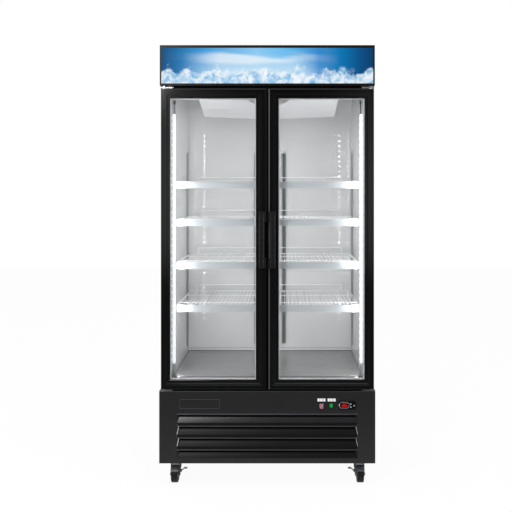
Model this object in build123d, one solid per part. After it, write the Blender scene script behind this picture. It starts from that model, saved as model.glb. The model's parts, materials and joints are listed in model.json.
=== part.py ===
from build123d import *
from math import atan2, cos, degrees, radians, sin, sqrt, tan
import os

# Two-door glass-front refrigerator, millimetres
# +Z is up, the doors face -Y, and the origin is on the floor under the middle of the cabinet

# Cabinet walls
cabinet_width = 1000.0
side_insulation = 52.0
roof_insulation = 52.0
floor_insulation = 48.0
rear_insulation = 68.0
outer_sheet = 1.0
liner_sheet = 1.0
face_sheet = 1.5

# Heights, from the floor upwards
caster_height = 113.0
base_height = 335.0
lower_gap = 8.0
door_height = 1390.0
upper_gap = 16.0
canopy_height = 188.0
canopy_lip = 16.0
floor_rise = 34.0
opening_drop = 31.0

# Depths, from the handles to the rear grille
handle_reach = 24.0
door_depth = 38.0
gasket_gap = 12.0
interior_depth = 542.0
header_depth = 50.0
grille_depth = 24.0
canopy_setback = 12.0

# Doors
center_gap = 8.0
door_inset = 8.0
hinge_stile = 42.0
latch_stile = 49.0
rail_width = 44.0
frame_lip = 12.0
lip_setback = 2.5
lip_thickness = 5.5
bead_width = 8.0
bead_thickness = 6.0
edge_bevel = 2.0
edge_step = 8.0
glass_bite = 10.0
glass_thickness = 4.0
glass_cavity = 12.0
spacer_width = 14.0
gasket_width = 18.0
gasket_inset = 8.0
gasket_clearance = 0.3

# Door handles
handle_width = 28.0
handle_height = 262.0
handle_post = 47.0
handle_plate = 8.0
handle_edge_inset = 7.8
handle_drop = 3.0
handle_border = 4.0
handle_recess = 1.0

# Hinges
hinge_inset = 12.0
hinge_setback = 20.0
hinge_plate = 4.0
hinge_plate_width = 56.0
hinge_plate_reach = 12.0
hinge_flange = 40.0
hinge_pin_radius = 5.0
hinge_pin_length = 20.0
hinge_collar_radius = 8.5
hinge_collar_gap = 0.5
hinge_nut_radius = 8.5
hinge_nut_height = 6.5
running_clearance = 0.08

# Mullion, uprights and clips
mullion_width = 64.0
mullion_depth = 22.0
mullion_wall = 1.5
post_width = 23.0
post_depth = 6.0
post_wall = 1.5
post_bottom_rise = 50.0
slot_pitch = 12.7
post_top_gap = 230.0
slot_height = 9.0
slot_width = 13.0
slot_margin = 12.0
rear_post_offset = 76.0
mullion_post_offset = 14.0
side_post_rear_gap = 60.0
side_post_front_gap = 60.0
clip_width = 16.0
clip_thickness = 2.0
clip_ledge = 12.0
clip_height = 20.0
clip_seat_rise = 7.0
tab_width = 10.0
tab_height = 5.0
tab_length = 3.0

# Shelves
shelf_drops = (60, 44, 28, 14)
shelf_gap = 1.5
shelf_rear_gap = 5.0
shelf_center_gap = 6.0
frame_wire = 6.0
cross_wire = 3.0
rod_wire = 5.0
wire_pitch = 19.0
weld_depth = 0.8
front_rod_inset = 105.0
rear_rod_inset = 165.0
shelf_corner = 12.0
guard_height = 33.0
guard_wire = 5.0
guard_outer_inset = 47.0
guard_inner_inset = 20.0
guard_bend = 8.0
rail_height = 32.0
rail_depth = 5.0
rail_wall = 1.5
rail_lip = 5.0
rail_end_gap = 2.0

# Floor deck
deck_rise = 10.0
deck_sheet = 1.5
deck_setback = 10.0
deck_gap = 2.0

# Light strips on the side walls
led_setback = 6.0
led_width = 22.0
led_depth = 11.0
led_wall = 1.5
led_bottom_rise = 73.0
led_top_drop = 80.0
led_board = 2.0
led_pitch = 31.5
led_bead_radius = 3.5
led_bead_height = 4.0
lead_radius = 2.25
plug_size = 9.0
plug_length = 14.0
plug_top_drop = 18.0

# Evaporator, its cover and fan
cover_side_gap = 101.0
cover_sheet = 1.5
cover_front_drop = 123.0
cover_rear_drop = 212.0
cover_rear_gap = 107.0
cover_bow = 45.0
outlet_slot_height = 60.0
outlet_slot_width = 70.0
outlet_slot_pitch = 96.0
vent_count = 11
vent_width = 6.0
vent_height = 8.0
vent_pitch = 11.0
vent_inset = 30.0
vent_setback = 110.0
fan_front_gap = 118.0
fan_hole_radius = 105.0
fan_tip_gap = 7.0
guard_overhang = 4.0
fan_guard_wire = 3.0
fan_hub_radius = 18.0
fan_hub_height = 26.0
fan_lift = 8.0
fan_blade_pitch = 28.0
fan_blades = 5
fan_blade_sheet = 1.6
motor_radius = 34.0
motor_length = 46.0
motor_bar_height = 44.0
motor_bar_width = 26.0
motor_bar_sheet = 2.5
motor_leg = 12.0
shaft_radius = 3.0
shaft_tip = 3.0
coil_side_gap = 65.0
coil_fan_gap = 10.0
coil_height = 145.0
coil_rear_gap = 19.0
fin_pitch = 8.0
fin_sheet = 2.0
fin_spine = 6.0
end_plate = 3.0

# Header box with its picture panel and lamp
canopy_inset = 1.0
canopy_sheet = 1.2
canopy_bezel_side = 7.5
canopy_bezel_top = 12.5
canopy_bezel_bottom = 10.7
canopy_bezel_sheet = 1.5
canopy_cap_depth = 63.0
canopy_panel_sheet = 3.0
lamp_radius = 10.0
lamp_end_gap = 50.0
lamp_holder = 12.0
lamp_holder_height = 30.0

# Louvred front panel
panel_sheet = 1.5
panel_bend = 3.0
louvre_count = 4
louvre_pitch = 54.8
louvre_height = 39.0
louvre_lip = 8.3
louvre_slot = 8.0
louvre_depth = 12.0
louvre_margin = 82.5
louvre_end_slope = 9.0
louvre_top_drop = 106.7

# Controls on the front panel
switch_rise = 266.0
power_switch_inset = 249.3
light_switch_inset = 204.6
power_switch_size = (25.5, 31.0)
light_switch_size = (21.0, 25.0)
light_switch_lift = 3.0
switch_bezel = 2.5
switch_rim = 2.5
switch_body = 22.0
switch_wall = 1.0
rocker_gap = 0.5
rocker_proud = 2.6
rocker_depth = 7.0
rocker_tilt = 7.0
rocker_pin_radius = 1.8
rocker_pin_setback = 2.0
label_size = (39.0, 17.0)
label_rise = 293.0
label_gap = 47.0
label_sheet = 0.8
nameplate_size = (186.0, 44.0)
nameplate_inset = 187.6
nameplate_rise = 275.6
nameplate_sheet = 0.8
thermostat_inset = 130.5
thermostat_rise = 270.0
thermostat_size = (79.0, 37.0)
thermostat_body = (70.0, 28.0)
thermostat_depth = 55.0
thermostat_bezel = 5.0
thermostat_corner = 9.0
thermostat_window = (36.0, 22.0)
thermostat_window_x = -9.0
thermostat_window_z = -1.0
thermostat_window_recess = 1.0
button_radius = 2.6
button_proud = 0.8
button_travel = 0.7
button_length = 4.0
button_gap = 0.15
up_button_offset = (16.0, 7.0)
down_button_offset = (16.0, -7.0)
set_button_offset = (32.0, 0.0)
cutout_gap = 0.3

# Base tray, rear grille and machinery
tray_sheet = 2.0
tray_flange = 40.0
grille_sheet = 1.2
grille_flange = 20.0
grille_overlap = 12.0
grille_margin = 60.0
grille_rows = 3
grille_slot_width = 8.0
grille_slot_height = 62.0
grille_slot_pitch = 38.0
grille_row_pitch = 88.0
compressor_inset = 250.0
compressor_rear_gap = 211.0
compressor_radius = 78.0
compressor_wall_height = 95.0
compressor_dome = 45.0
compressor_foot = 12.0
compressor_foot_radius = 11.0
compressor_plate = (210.0, 160.0)
compressor_plate_sheet = 3.0
condenser_inset = 125.0
condenser_pipe_room = 197.0
condenser_front_gap = 45.0
condenser_depth = 60.0
condenser_height = 285.0
condenser_fan_radius = 112.0
condenser_fan_gap = 14.0
condenser_motor_gap = 12.0
condenser_motor_foot = 40.0
pipe_radius = 4.75
pipe_bend = 26.0
gland_inset = 120.0
gland_radius = 11.0
gland_nut_radius = 9.0
gland_length = 18.0
gland_nut = 6.0
gland_bore = 5.0
gland_notch = 60.0

# Casters
caster_inset = 64.0
caster_front_gap = 44.0
caster_rear_gap = 46.0
caster_trail = 24.0
caster_plate_size = (60.0, 76.0)
caster_plate_sheet = 3.0
race_radius = 26.0
upper_race_height = 6.0
lower_race_height = 15.7
lower_race_radius = 23.0
race_gap = 0.3
king_pin_radius = 6.0
king_pin_head = 9.0
king_pin_head_height = 4.5
crown_sheet = 3.7
fork_leg = 3.0
fork_side_gap = 2.0
fork_crown_length = 52.0
fork_eye_radius = 10.0
wheel_radius = 37.5
wheel_width = 32.0
wheel_round = 5.0
wheel_hub_radius = 13.0
wheel_dish_radius = 26.0
wheel_dish_depth = 4.0
axle_radius = 4.0
axle_head_radius = 6.5
axle_head = 3.0
pedal_width = 16.0
pedal_sheet = 2.5
pedal_hub_radius = 4.0
pedal_pin_radius = 2.0
pedal_pivot_out = 6.5
pedal_pivot_rise = 9.0
pedal_slope_run = 15.0
pedal_slope_rise = 13.0
pedal_flat = 14.0
pedal_ear = 2.5

# Fasteners
bolt_radius = 3.0
bolt_head_radius = 5.0
bolt_head = 3.5
bolt_length = 9.0
bolt_margin = 8.0
screw_radius = 2.0
screw_head_radius = 4.0
screw_head = 2.4
screw_length = 12.0
screw_gap = 0.1

# Planes from front to rear
overall_depth = (handle_reach + door_depth + gasket_gap + interior_depth + liner_sheet
                 + rear_insulation + outer_sheet + grille_depth)
front_y = -overall_depth / 2
door_front_y = front_y + handle_reach
door_back_y = door_front_y + door_depth
face_y = door_back_y + gasket_gap
foam_front_y = face_y + face_sheet
header_rear_y = face_y + header_depth
liner_rear_y = face_y + interior_depth
body_rear_y = liner_rear_y + liner_sheet + rear_insulation + outer_sheet
rear_y = body_rear_y + grille_depth

# Levels from the floor upwards
base_z = caster_height
base_top_z = base_z + base_height
door_bottom_z = base_top_z + lower_gap
door_top_z = door_bottom_z + door_height
canopy_bottom_z = door_top_z + upper_gap
top_z = canopy_bottom_z + canopy_height
body_top_z = top_z - canopy_lip
floor_z = door_bottom_z + floor_rise
underside_z = floor_z - liner_sheet - floor_insulation - outer_sheet
ceiling_z = body_top_z - outer_sheet - roof_insulation - liner_sheet
opening_top_z = door_top_z - opening_drop
deck_z = floor_z + deck_rise

# Half widths
half_width = cabinet_width / 2
inside_half = half_width - outer_sheet
room_half = inside_half - side_insulation - liner_sheet

# Doors and hinge axes
door_inner_x = center_gap / 2
door_outer_x = half_width - door_inset
hinge_x = door_outer_x - hinge_inset
hinge_y = door_front_y + hinge_setback

# Uprights and shelves
post_bottom_z = floor_z + post_bottom_rise
slot_room = opening_top_z - post_top_gap - post_bottom_z - 2 * slot_margin
slot_count = int(slot_room // slot_pitch) + 1
post_length = (slot_count - 1) * slot_pitch + 2 * slot_margin
mullion_rear_y = face_y + mullion_depth
shelf_front_y = mullion_rear_y + post_depth + 1.0
shelf_rear_y = liner_rear_y - post_depth - clip_thickness - shelf_rear_gap
shelf_outer_x = room_half - post_depth - clip_thickness - shelf_gap
shelf_inner_x = shelf_center_gap
shelf_width = shelf_outer_x - shelf_inner_x
shelf_length = shelf_rear_y - shelf_front_y
seat_heights = [post_bottom_z + slot_margin + (slot_count - drop) * slot_pitch + clip_seat_rise
                for drop in shelf_drops]
shelf_thickness = frame_wire + cross_wire - weld_depth

# Light strips
led_front_y = face_y + led_setback
led_rear_y = led_front_y + led_width
led_bottom_z = floor_z + led_bottom_rise
led_top_z = opening_top_z - led_top_drop

# Evaporator, its cover and fan
cover_half_width = room_half - cover_side_gap
cover_front_y = header_rear_y
cover_rear_y = liner_rear_y - cover_rear_gap
cover_front_z = ceiling_z - cover_front_drop
cover_rear_z = ceiling_z - cover_rear_drop
cover_fall = (cover_front_z - cover_rear_z) / (cover_rear_y - cover_front_y)
cover_angle = atan2(cover_front_z - cover_rear_z, cover_rear_y - cover_front_y)
fan_y = cover_front_y + fan_front_gap
fan_z = cover_front_z - cover_fall * fan_front_gap
coil_half_width = cover_half_width - coil_side_gap
coil_front_y = fan_y + fan_hole_radius + coil_fan_gap
coil_rear_y = cover_rear_y - coil_rear_gap

# Front panel and its controls
louvre_half_length = half_width - louvre_margin
power_switch_x = half_width - power_switch_inset
light_switch_x = half_width - light_switch_inset
thermostat_x = half_width - thermostat_inset
nameplate_x = nameplate_inset - half_width

# Machinery
compressor_x = compressor_inset - half_width
compressor_y = body_rear_y - compressor_rear_gap
condenser_left_x = compressor_x + compressor_radius + condenser_pipe_room
condenser_right_x = half_width - condenser_inset
condenser_x = (condenser_left_x + condenser_right_x) / 2
condenser_half_width = (condenser_right_x - condenser_left_x) / 2
gland_x = half_width - gland_inset

# Casters
caster_x = half_width - caster_inset
wheel_z = wheel_radius
fork_inner = wheel_width / 2 + fork_side_gap
fork_outer = fork_inner + fork_leg
caster_front_y = face_y + caster_front_gap
caster_rear_y = body_rear_y - caster_rear_gap


def block(x0, x1, y0, y1, z0, z1):
    """Box between two opposite corners."""
    middle = Pos((x0 + x1) / 2, (y0 + y1) / 2, (z0 + z1) / 2)
    return middle * Box(abs(x1 - x0), abs(y1 - y0), abs(z1 - z0))


def bar_x(radius, x0, x1, y, z):
    """Round bar along X."""
    return Pos((x0 + x1) / 2, y, z) * Rot(0, 90, 0) * Cylinder(radius, abs(x1 - x0))


def bar_y(radius, y0, y1, x, z):
    """Round bar along Y."""
    return Pos(x, (y0 + y1) / 2, z) * Rot(90, 0, 0) * Cylinder(radius, abs(y1 - y0))


def bar_z(radius, z0, z1, x, y):
    """Round bar along Z."""
    return Pos(x, y, (z0 + z1) / 2) * Cylinder(radius, abs(z1 - z0))


def prism_x(points, x0, x1):
    """Solid with the outline points (y, z), from x0 to x1."""
    return extrude(Plane.YZ.offset(x0) * Polygon(*points), amount=x1 - x0, dir=(1, 0, 0))


def prism_y(points, y0, y1):
    """Solid with the outline points (x, z), from y0 to y1."""
    return extrude(Plane.XZ.offset(-y0) * Polygon(*points), amount=y1 - y0, dir=(0, 1, 0))


def prism_z(points, z0, z1):
    """Solid with the outline points (x, y), from z0 to z1."""
    return extrude(Plane.XY.offset(z0) * Polygon(*points), amount=z1 - z0, dir=(0, 0, 1))


def mirrored(shape):
    """The same piece on the other side of the cabinet."""
    return mirror(shape, about=Plane.YZ)


def both_sides(shape):
    """A piece and its mirror image, as a list."""
    return [shape, mirrored(shape)]


def write(name, pieces):
    """Writes the solids of one node to its file."""
    group = pieces if isinstance(pieces, (list, tuple)) else [pieces]
    solids = [solid for piece in group for solid in piece.solids()]
    export_step(Compound(children=solids) if len(solids) > 1 else solids[0], f"parts/{name}.step")
    print(f"{name}: {len(solids)} solids")


# Insulated cabinet

def room(grow):
    """Cold room in front of and behind the header, grown on every wall by one amount."""
    half = room_half + grow
    low = floor_z - grow
    front_part = block(-half, half, foam_front_y, liner_rear_y + grow, low, opening_top_z + grow)
    tall_part = block(-half, half, header_rear_y - grow, liner_rear_y + grow, low, ceiling_z + grow)
    return front_part + tall_part


def side_panels():
    """Outer side sheets, from the base to the roof."""
    return both_sides(block(inside_half, half_width, face_y, body_rear_y, base_z, body_top_z))


def rear_panel():
    """Outer rear sheet behind the insulation."""
    return block(-inside_half, inside_half, body_rear_y - outer_sheet, body_rear_y,
                 underside_z, body_top_z - outer_sheet)


def roof_and_underside():
    """Sheets above and below the insulated box."""
    roof = block(-inside_half, inside_half, face_y, body_rear_y, body_top_z - outer_sheet, body_top_z)
    underside = block(-inside_half, inside_half, foam_front_y, body_rear_y - outer_sheet,
                      underside_z, underside_z + outer_sheet)
    return [roof, underside]


def foam_insulation():
    """Foamed box, open at the front below the header."""
    outside = block(-inside_half, inside_half, foam_front_y, body_rear_y - outer_sheet,
                    underside_z + outer_sheet, body_top_z - outer_sheet)
    return outside - room(liner_sheet)


def inner_liner():
    """Thin lining of the cold room."""
    return room(liner_sheet) - room(0.0)


def face_frame():
    """Sheet frame over the front edges of the insulation."""
    sheet = block(-inside_half, inside_half, face_y, foam_front_y, underside_z, body_top_z - outer_sheet)
    opening = block(-room_half, room_half, face_y, foam_front_y, floor_z, opening_top_z)
    return sheet - opening


def floor_deck():
    """Folded floor plate, notched round the mullion."""
    half = room_half - deck_gap
    front = face_y + deck_setback
    rear = liner_rear_y - deck_gap
    folded = block(-half, half, front, rear, floor_z, deck_z)
    hollow = block(-half + deck_sheet, half - deck_sheet, front + deck_sheet, rear - deck_sheet,
                   floor_z, deck_z - deck_sheet)
    notch_half = mullion_width / 2 + deck_gap
    notch = block(-notch_half, notch_half, front, mullion_rear_y + deck_gap, floor_z, deck_z)
    return folded - hollow - notch


def center_mullion():
    """Box-section upright that both gaskets close on."""
    half = mullion_width / 2
    tube = block(-half, half, face_y, mullion_rear_y, floor_z, opening_top_z)
    bore = block(-half + mullion_wall, half - mullion_wall, face_y + mullion_wall,
                 mullion_rear_y - mullion_wall, floor_z, opening_top_z)
    return tube - bore


# Uprights, clips and shelves

def post_places():
    """Places of the slotted uprights: each carries a channel whose web faces the room."""
    side_rear_y = liner_rear_y - side_post_rear_gap
    side_front_y = face_y + side_post_front_gap
    places = []
    for side in (-1, 1):
        places.append(Pos(side * rear_post_offset, liner_rear_y, 0))
        places.append(Pos(side * mullion_post_offset, mullion_rear_y, 0) * Rot(0, 0, 180))
        places.append(Pos(side * room_half, side_rear_y, 0) * Rot(0, 0, -90 * side))
        places.append(Pos(side * room_half, side_front_y, 0) * Rot(0, 0, -90 * side))
    return places


def shelf_pilasters():
    """Slotted channels against the walls and behind the mullion."""
    half = post_width / 2
    top = post_bottom_z + post_length
    channel = block(-half, half, -post_depth, 0, post_bottom_z, top)
    channel -= block(-half + post_wall, half - post_wall, -post_depth + post_wall, 0,
                     post_bottom_z, top)
    slots = [block(-slot_width / 2, slot_width / 2, -post_depth, -post_depth + post_wall,
                   level - slot_height / 2, level + slot_height / 2)
             for level in (post_bottom_z + slot_margin + index * slot_pitch
                           for index in range(slot_count))]
    channel -= Compound(children=slots)
    return [place * channel for place in post_places()]


def shelf_clips():
    """Clips hooked into the slots, four under each shelf."""
    clips = []
    for seat in seat_heights:
        web = -post_depth
        slot_z = seat - clip_seat_rise
        half = clip_width / 2
        back = block(-half, half, web - clip_thickness, web, seat - clip_height, seat)
        ledge = block(-half, half, web - clip_thickness - clip_ledge, web - clip_thickness,
                      seat - clip_thickness, seat)
        tab = block(-tab_width / 2, tab_width / 2, web, web + tab_length,
                    slot_z - tab_height / 2, slot_z + tab_height / 2)
        clip = back + ledge + tab
        clips += [place * clip for place in post_places()]
    return clips


def wire_shelf():
    """Right-hand wire shelf, its frame resting at z = 0."""
    radius = frame_wire / 2
    middle_x = (shelf_inner_x + shelf_outer_x) / 2
    middle_y = (shelf_front_y + shelf_rear_y) / 2
    outline = RectangleRounded(shelf_width - frame_wire, shelf_length - frame_wire, shelf_corner)
    path = Pos(middle_x, middle_y, radius) * outline.wire()
    start = path @ 0
    section = Plane(origin=start, z_dir=path % 0) * Circle(radius)
    grid = sweep(section, path=path)
    for rod_y in (shelf_front_y + front_rod_inset, shelf_rear_y - rear_rod_inset):
        grid += bar_x(rod_wire / 2, shelf_inner_x + radius, shelf_outer_x - radius, rod_y, radius)
    count = int((shelf_width - 2 * shelf_corner) // wire_pitch) + 1
    first_x = middle_x - (count - 1) * wire_pitch / 2
    wire_z = frame_wire + cross_wire / 2 - weld_depth
    wires = [bar_y(cross_wire / 2, shelf_front_y + radius, shelf_rear_y - radius,
                   first_x + index * wire_pitch, wire_z) for index in range(count)]
    return grid.fuse(*wires)


def back_guard(side):
    """Raised wire loop standing on the rear of the shelf on one side."""
    rear = shelf_rear_y - frame_wire / 2
    low = frame_wire
    high = low + guard_height - guard_wire / 2
    inner = side * guard_inner_inset
    outer = side * (shelf_outer_x - guard_outer_inset)
    points = [(inner, rear, low), (inner, rear, high), (outer, rear, high), (outer, rear, low)]
    path = FilletPolyline(*points, radius=guard_bend)
    section = Plane(origin=points[0], z_dir=(0, 0, 1)) * Circle(guard_wire / 2)
    return sweep(section, path=path)


def shelves(side):
    """The four shelves on one side with their guards."""
    grid = wire_shelf()
    if side < 0:
        grid = Pos(-(shelf_inner_x + shelf_outer_x), 0, 0) * grid
    guard = back_guard(side)
    pieces = []
    for seat in seat_heights:
        pieces += [Pos(0, 0, seat) * grid, Pos(0, 0, seat) * guard]
    return pieces


def ticket_rails():
    """Price rails against the front wires, with lips turned forward above and below."""
    inner = mullion_width / 2 + rail_end_gap
    outer = room_half - led_depth - rail_end_gap
    back = shelf_front_y
    front = back - rail_depth
    web = back - rail_wall
    lip = front + rail_wall
    rails = []
    for seat in seat_heights:
        top = seat + shelf_thickness
        low = top - rail_height
        outline = [(back, top), (front, top), (front, top - rail_lip), (lip, top - rail_lip),
                   (lip, top - rail_wall), (web, top - rail_wall), (web, low + rail_wall),
                   (lip, low + rail_wall), (lip, low + rail_lip), (front, low + rail_lip),
                   (front, low), (back, low)]
        rails += both_sides(prism_x(outline, inner, outer))
    return rails


# Light strips inside the side walls

def led_channels():
    """Aluminium channels on the side walls, open towards the room."""
    channel = block(room_half - led_depth, room_half, led_front_y, led_rear_y, led_bottom_z, led_top_z)
    channel -= block(room_half - led_depth, room_half - led_wall, led_front_y + led_wall,
                     led_rear_y - led_wall, led_bottom_z, led_top_z)
    return both_sides(channel)


def led_boards():
    """Boards in the channels, each with a row of light beads."""
    back = room_half - led_wall
    middle_y = (led_front_y + led_rear_y) / 2
    board = block(back - led_board, back, led_front_y + led_wall, led_rear_y - led_wall,
                  led_bottom_z, led_top_z)
    length = led_top_z - led_bottom_z
    count = int(length // led_pitch)
    first = led_bottom_z + (length - (count - 1) * led_pitch) / 2
    beads = [bar_x(led_bead_radius, back - led_board - led_bead_height, back - led_board,
                   middle_y, first + index * led_pitch) for index in range(count)]
    return both_sides(board.fuse(*beads))


def led_leads():
    """Short black leads from the strips up to the head of the opening, each with its plug."""
    x = room_half - led_wall - led_board - plug_size / 2
    y = (led_front_y + led_rear_y) / 2
    lead = bar_z(lead_radius, led_top_z, opening_top_z, x, y)
    top = opening_top_z - plug_top_drop
    half = plug_size / 2
    lead += block(x - half, x + half, y - half, y + half, top - plug_length, top)
    return both_sides(lead)


# Evaporator with its cover and fan

def cover_body(inset):
    """Solid under the ceiling and above the sloping tray, drawn in by one wall thickness."""
    half = cover_half_width - inset
    front = cover_front_y + inset
    rear = cover_rear_y - inset
    rise = inset / cos(cover_angle)
    plan = [(-half, front), (half, front), (half, rear), (0, rear + cover_bow), (-half, rear)]
    column = prism_z(plan, cover_rear_z - cover_bow, ceiling_z)
    far = liner_rear_y
    far_z = cover_front_z - cover_fall * (far - cover_front_y) + rise
    side = [(cover_front_y, cover_front_z + rise), (far, far_z), (far, ceiling_z),
            (cover_front_y, ceiling_z)]
    return column & prism_x(side, -cover_half_width, cover_half_width)


def fan_place():
    """Place of the fan: its axis stands square to the sloping tray."""
    return Pos(0, fan_y, fan_z) * Rot(-degrees(cover_angle), 0, 0)


def evaporator_cover():
    """Sheet cover with the fan hole, a short row of vents and outlets towards the rear wall."""
    shell = cover_body(0.0) - cover_body(cover_sheet)
    shell -= fan_place() * Cylinder(fan_hole_radius, 8 * cover_sheet)
    low = cover_rear_z + outlet_slot_height
    reach = cover_half_width - outlet_slot_width
    columns = int(reach // outlet_slot_pitch)
    outlets = [block(index * outlet_slot_pitch - outlet_slot_width / 2,
                     index * outlet_slot_pitch + outlet_slot_width / 2,
                     cover_rear_y - cover_sheet * 4, liner_rear_y - deck_gap,
                     low, low + outlet_slot_height)
               for index in range(-columns, columns + 1)]
    shell = shell.cut(*outlets)
    vent_y = cover_rear_y - vent_setback
    vents = [block(left, left + vent_width, vent_y, vent_y + vent_height,
                   cover_rear_z - cover_bow, cover_front_z)
             for left in (vent_inset + index * vent_pitch - cover_half_width
                          for index in range(vent_count))]
    return shell.cut(*vents)


def evaporator_coil():
    """Finned block hung from the ceiling by its end plates."""
    rear = coil_rear_y
    front = coil_front_y
    top = ceiling_z - end_plate * 4
    points = [(-coil_half_width, front), (-coil_half_width, rear)]
    count = int(2 * coil_half_width // fin_pitch)
    start = -coil_half_width
    for index in range(count):
        left = start + index * fin_pitch
        points += [(left, rear), (left + fin_sheet, rear), (left + fin_sheet, front + fin_spine),
                   (left + fin_pitch, front + fin_spine)]
    right = start + count * fin_pitch
    points += [(right, rear), (right + fin_sheet, rear), (right + fin_sheet, front)]
    fins = prism_z([points[0]] + points[2:], top - coil_height, top)
    plates = [block(x, x + end_plate, front, rear, top - coil_height, ceiling_z)
              for x in (start - end_plate, right + fin_sheet)]
    return [fins] + plates


def evaporator_fan_guard():
    """Round wire guard under the tray."""
    wire = fan_guard_wire / 2
    outer = fan_hole_radius + guard_overhang
    rings = [outer * share for share in (1.0, 0.8, 0.6, 0.4)]
    guard = Pos(0, 0, -wire) * Cylinder(rings[-1] * 0.6, 2 * wire)
    for radius in rings:
        guard += Pos(0, 0, -wire) * Torus(radius, wire)
    for angle in range(0, 180, 30):
        guard += Pos(0, 0, -wire) * Rot(0, 90, angle) * Cylinder(wire * 0.9, 2 * outer)
    return fan_place() * guard


def fan_blade(tip_radius):
    """Fan with its hub standing on z = 0 and its blades round it."""
    hub = Cylinder(fan_hub_radius, fan_hub_height, align=(Align.CENTER, Align.CENTER, Align.MIN))
    root = fan_hub_radius * 0.6
    span = tip_radius - root
    middle = fan_hub_height / 2
    chord = fan_hub_height * 0.86 / sin(radians(fan_blade_pitch))
    chord = min(chord, span * 0.75)
    for index in range(fan_blades):
        turn = Rot(0, 0, index * 360 / fan_blades)
        blade = Box(span, chord, fan_blade_sheet)
        hub += turn * Pos(root + span / 2, 0, middle) * Rot(fan_blade_pitch, 0, 0) * blade
    hub &= Cylinder(tip_radius, fan_hub_height, align=(Align.CENTER, Align.CENTER, Align.MIN))
    bore_radius = shaft_radius + running_clearance
    hub -= Pos(0, 0, shaft_tip) * Cylinder(bore_radius, fan_hub_height,
                                           align=(Align.CENTER, Align.CENTER, Align.MIN))
    return hub


def motor(height):
    """Motor above its bar at the given height, with its shaft reaching down into the hub."""
    base = (Align.CENTER, Align.CENTER, Align.MIN)
    body = Pos(0, 0, height + motor_bar_sheet) * Cylinder(motor_radius, motor_length, align=base)
    tip = fan_lift + shaft_tip + race_gap
    body += Pos(0, 0, tip) * Cylinder(shaft_radius, height - tip + motor_bar_sheet, align=base)
    return body


def evaporator_motor():
    """Motor on a bar that stands on the tray across the fan hole."""
    reach = fan_hole_radius + motor_leg + guard_overhang
    half = motor_bar_width / 2
    bar = block(-reach, reach, -half, half, motor_bar_height, motor_bar_height + motor_bar_sheet)
    for side in (-1, 1):
        bar += block(side * (reach - motor_leg), side * reach, -half, half,
                     cover_sheet, motor_bar_height)
    return fan_place() * (motor(motor_bar_height) + bar)


def evaporator_fan_blade():
    """Evaporator fan on its motor shaft."""
    return fan_place() * Pos(0, 0, fan_lift) * fan_blade(fan_hole_radius - fan_tip_gap)


# Header

def canopy_volume(wall):
    """Inside of the header: a shallow upright box whose cap folds back over the roof."""
    half = half_width - canopy_inset - wall
    front = door_front_y + canopy_setback + wall
    box = block(-half, half, front, face_y - hinge_plate - wall, canopy_bottom_z + wall, top_z - wall)
    cap_rear = face_y - hinge_plate + canopy_cap_depth - wall
    cap = block(-half, half, front, cap_rear, body_top_z, top_z - wall)
    return box + cap


def canopy_housing():
    """Header housing with its bezel, open where the picture panel shows."""
    shell = canopy_volume(0.0) - canopy_volume(canopy_sheet)
    half = half_width - canopy_inset - canopy_bezel_side
    front = door_front_y + canopy_setback
    window = block(-half, half, front, front + canopy_sheet, canopy_bottom_z + canopy_bezel_bottom,
                   top_z - canopy_bezel_top)
    return shell - window


def canopy_panel():
    """Translucent panel held behind the bezel."""
    half = half_width - canopy_inset - 2 * canopy_sheet
    front = door_front_y + canopy_setback + canopy_sheet
    return block(-half, half, front, front + canopy_panel_sheet, canopy_bottom_z + 2 * canopy_sheet,
                 top_z - 2 * canopy_sheet)


def canopy_lamp():
    """Lamp tube on two holders behind the panel."""
    back = face_y - hinge_plate - canopy_sheet
    y = back - lamp_radius - canopy_sheet
    z = (canopy_bottom_z + top_z) / 2
    half = half_width - lamp_end_gap
    rise = lamp_holder_height / 2
    holder = block(half, half + lamp_holder, y - lamp_radius, back, z - rise, z + rise)
    return [bar_x(lamp_radius, -half, half, y, z)] + both_sides(holder)


# Louvred front panel and its controls

def louvre_pocket(top, grow):
    """Pressed louvre pocket: a sloping lip, a slot and a sloping blade with sloping ends."""
    front = door_front_y
    deep = front + louvre_depth + grow
    low = top - louvre_height
    slot_top = top - louvre_lip
    slot_low = slot_top - louvre_slot
    side = [(front, top + grow), (deep, slot_top + grow), (deep, slot_low - grow), (front, low - grow)]
    outer = louvre_half_length + grow
    inner = outer - louvre_end_slope
    plan = [(-outer, front), (outer, front), (inner, deep), (-inner, deep)]
    return prism_x(side, -outer, outer) & prism_z(plan, low - grow, top + grow)


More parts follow.
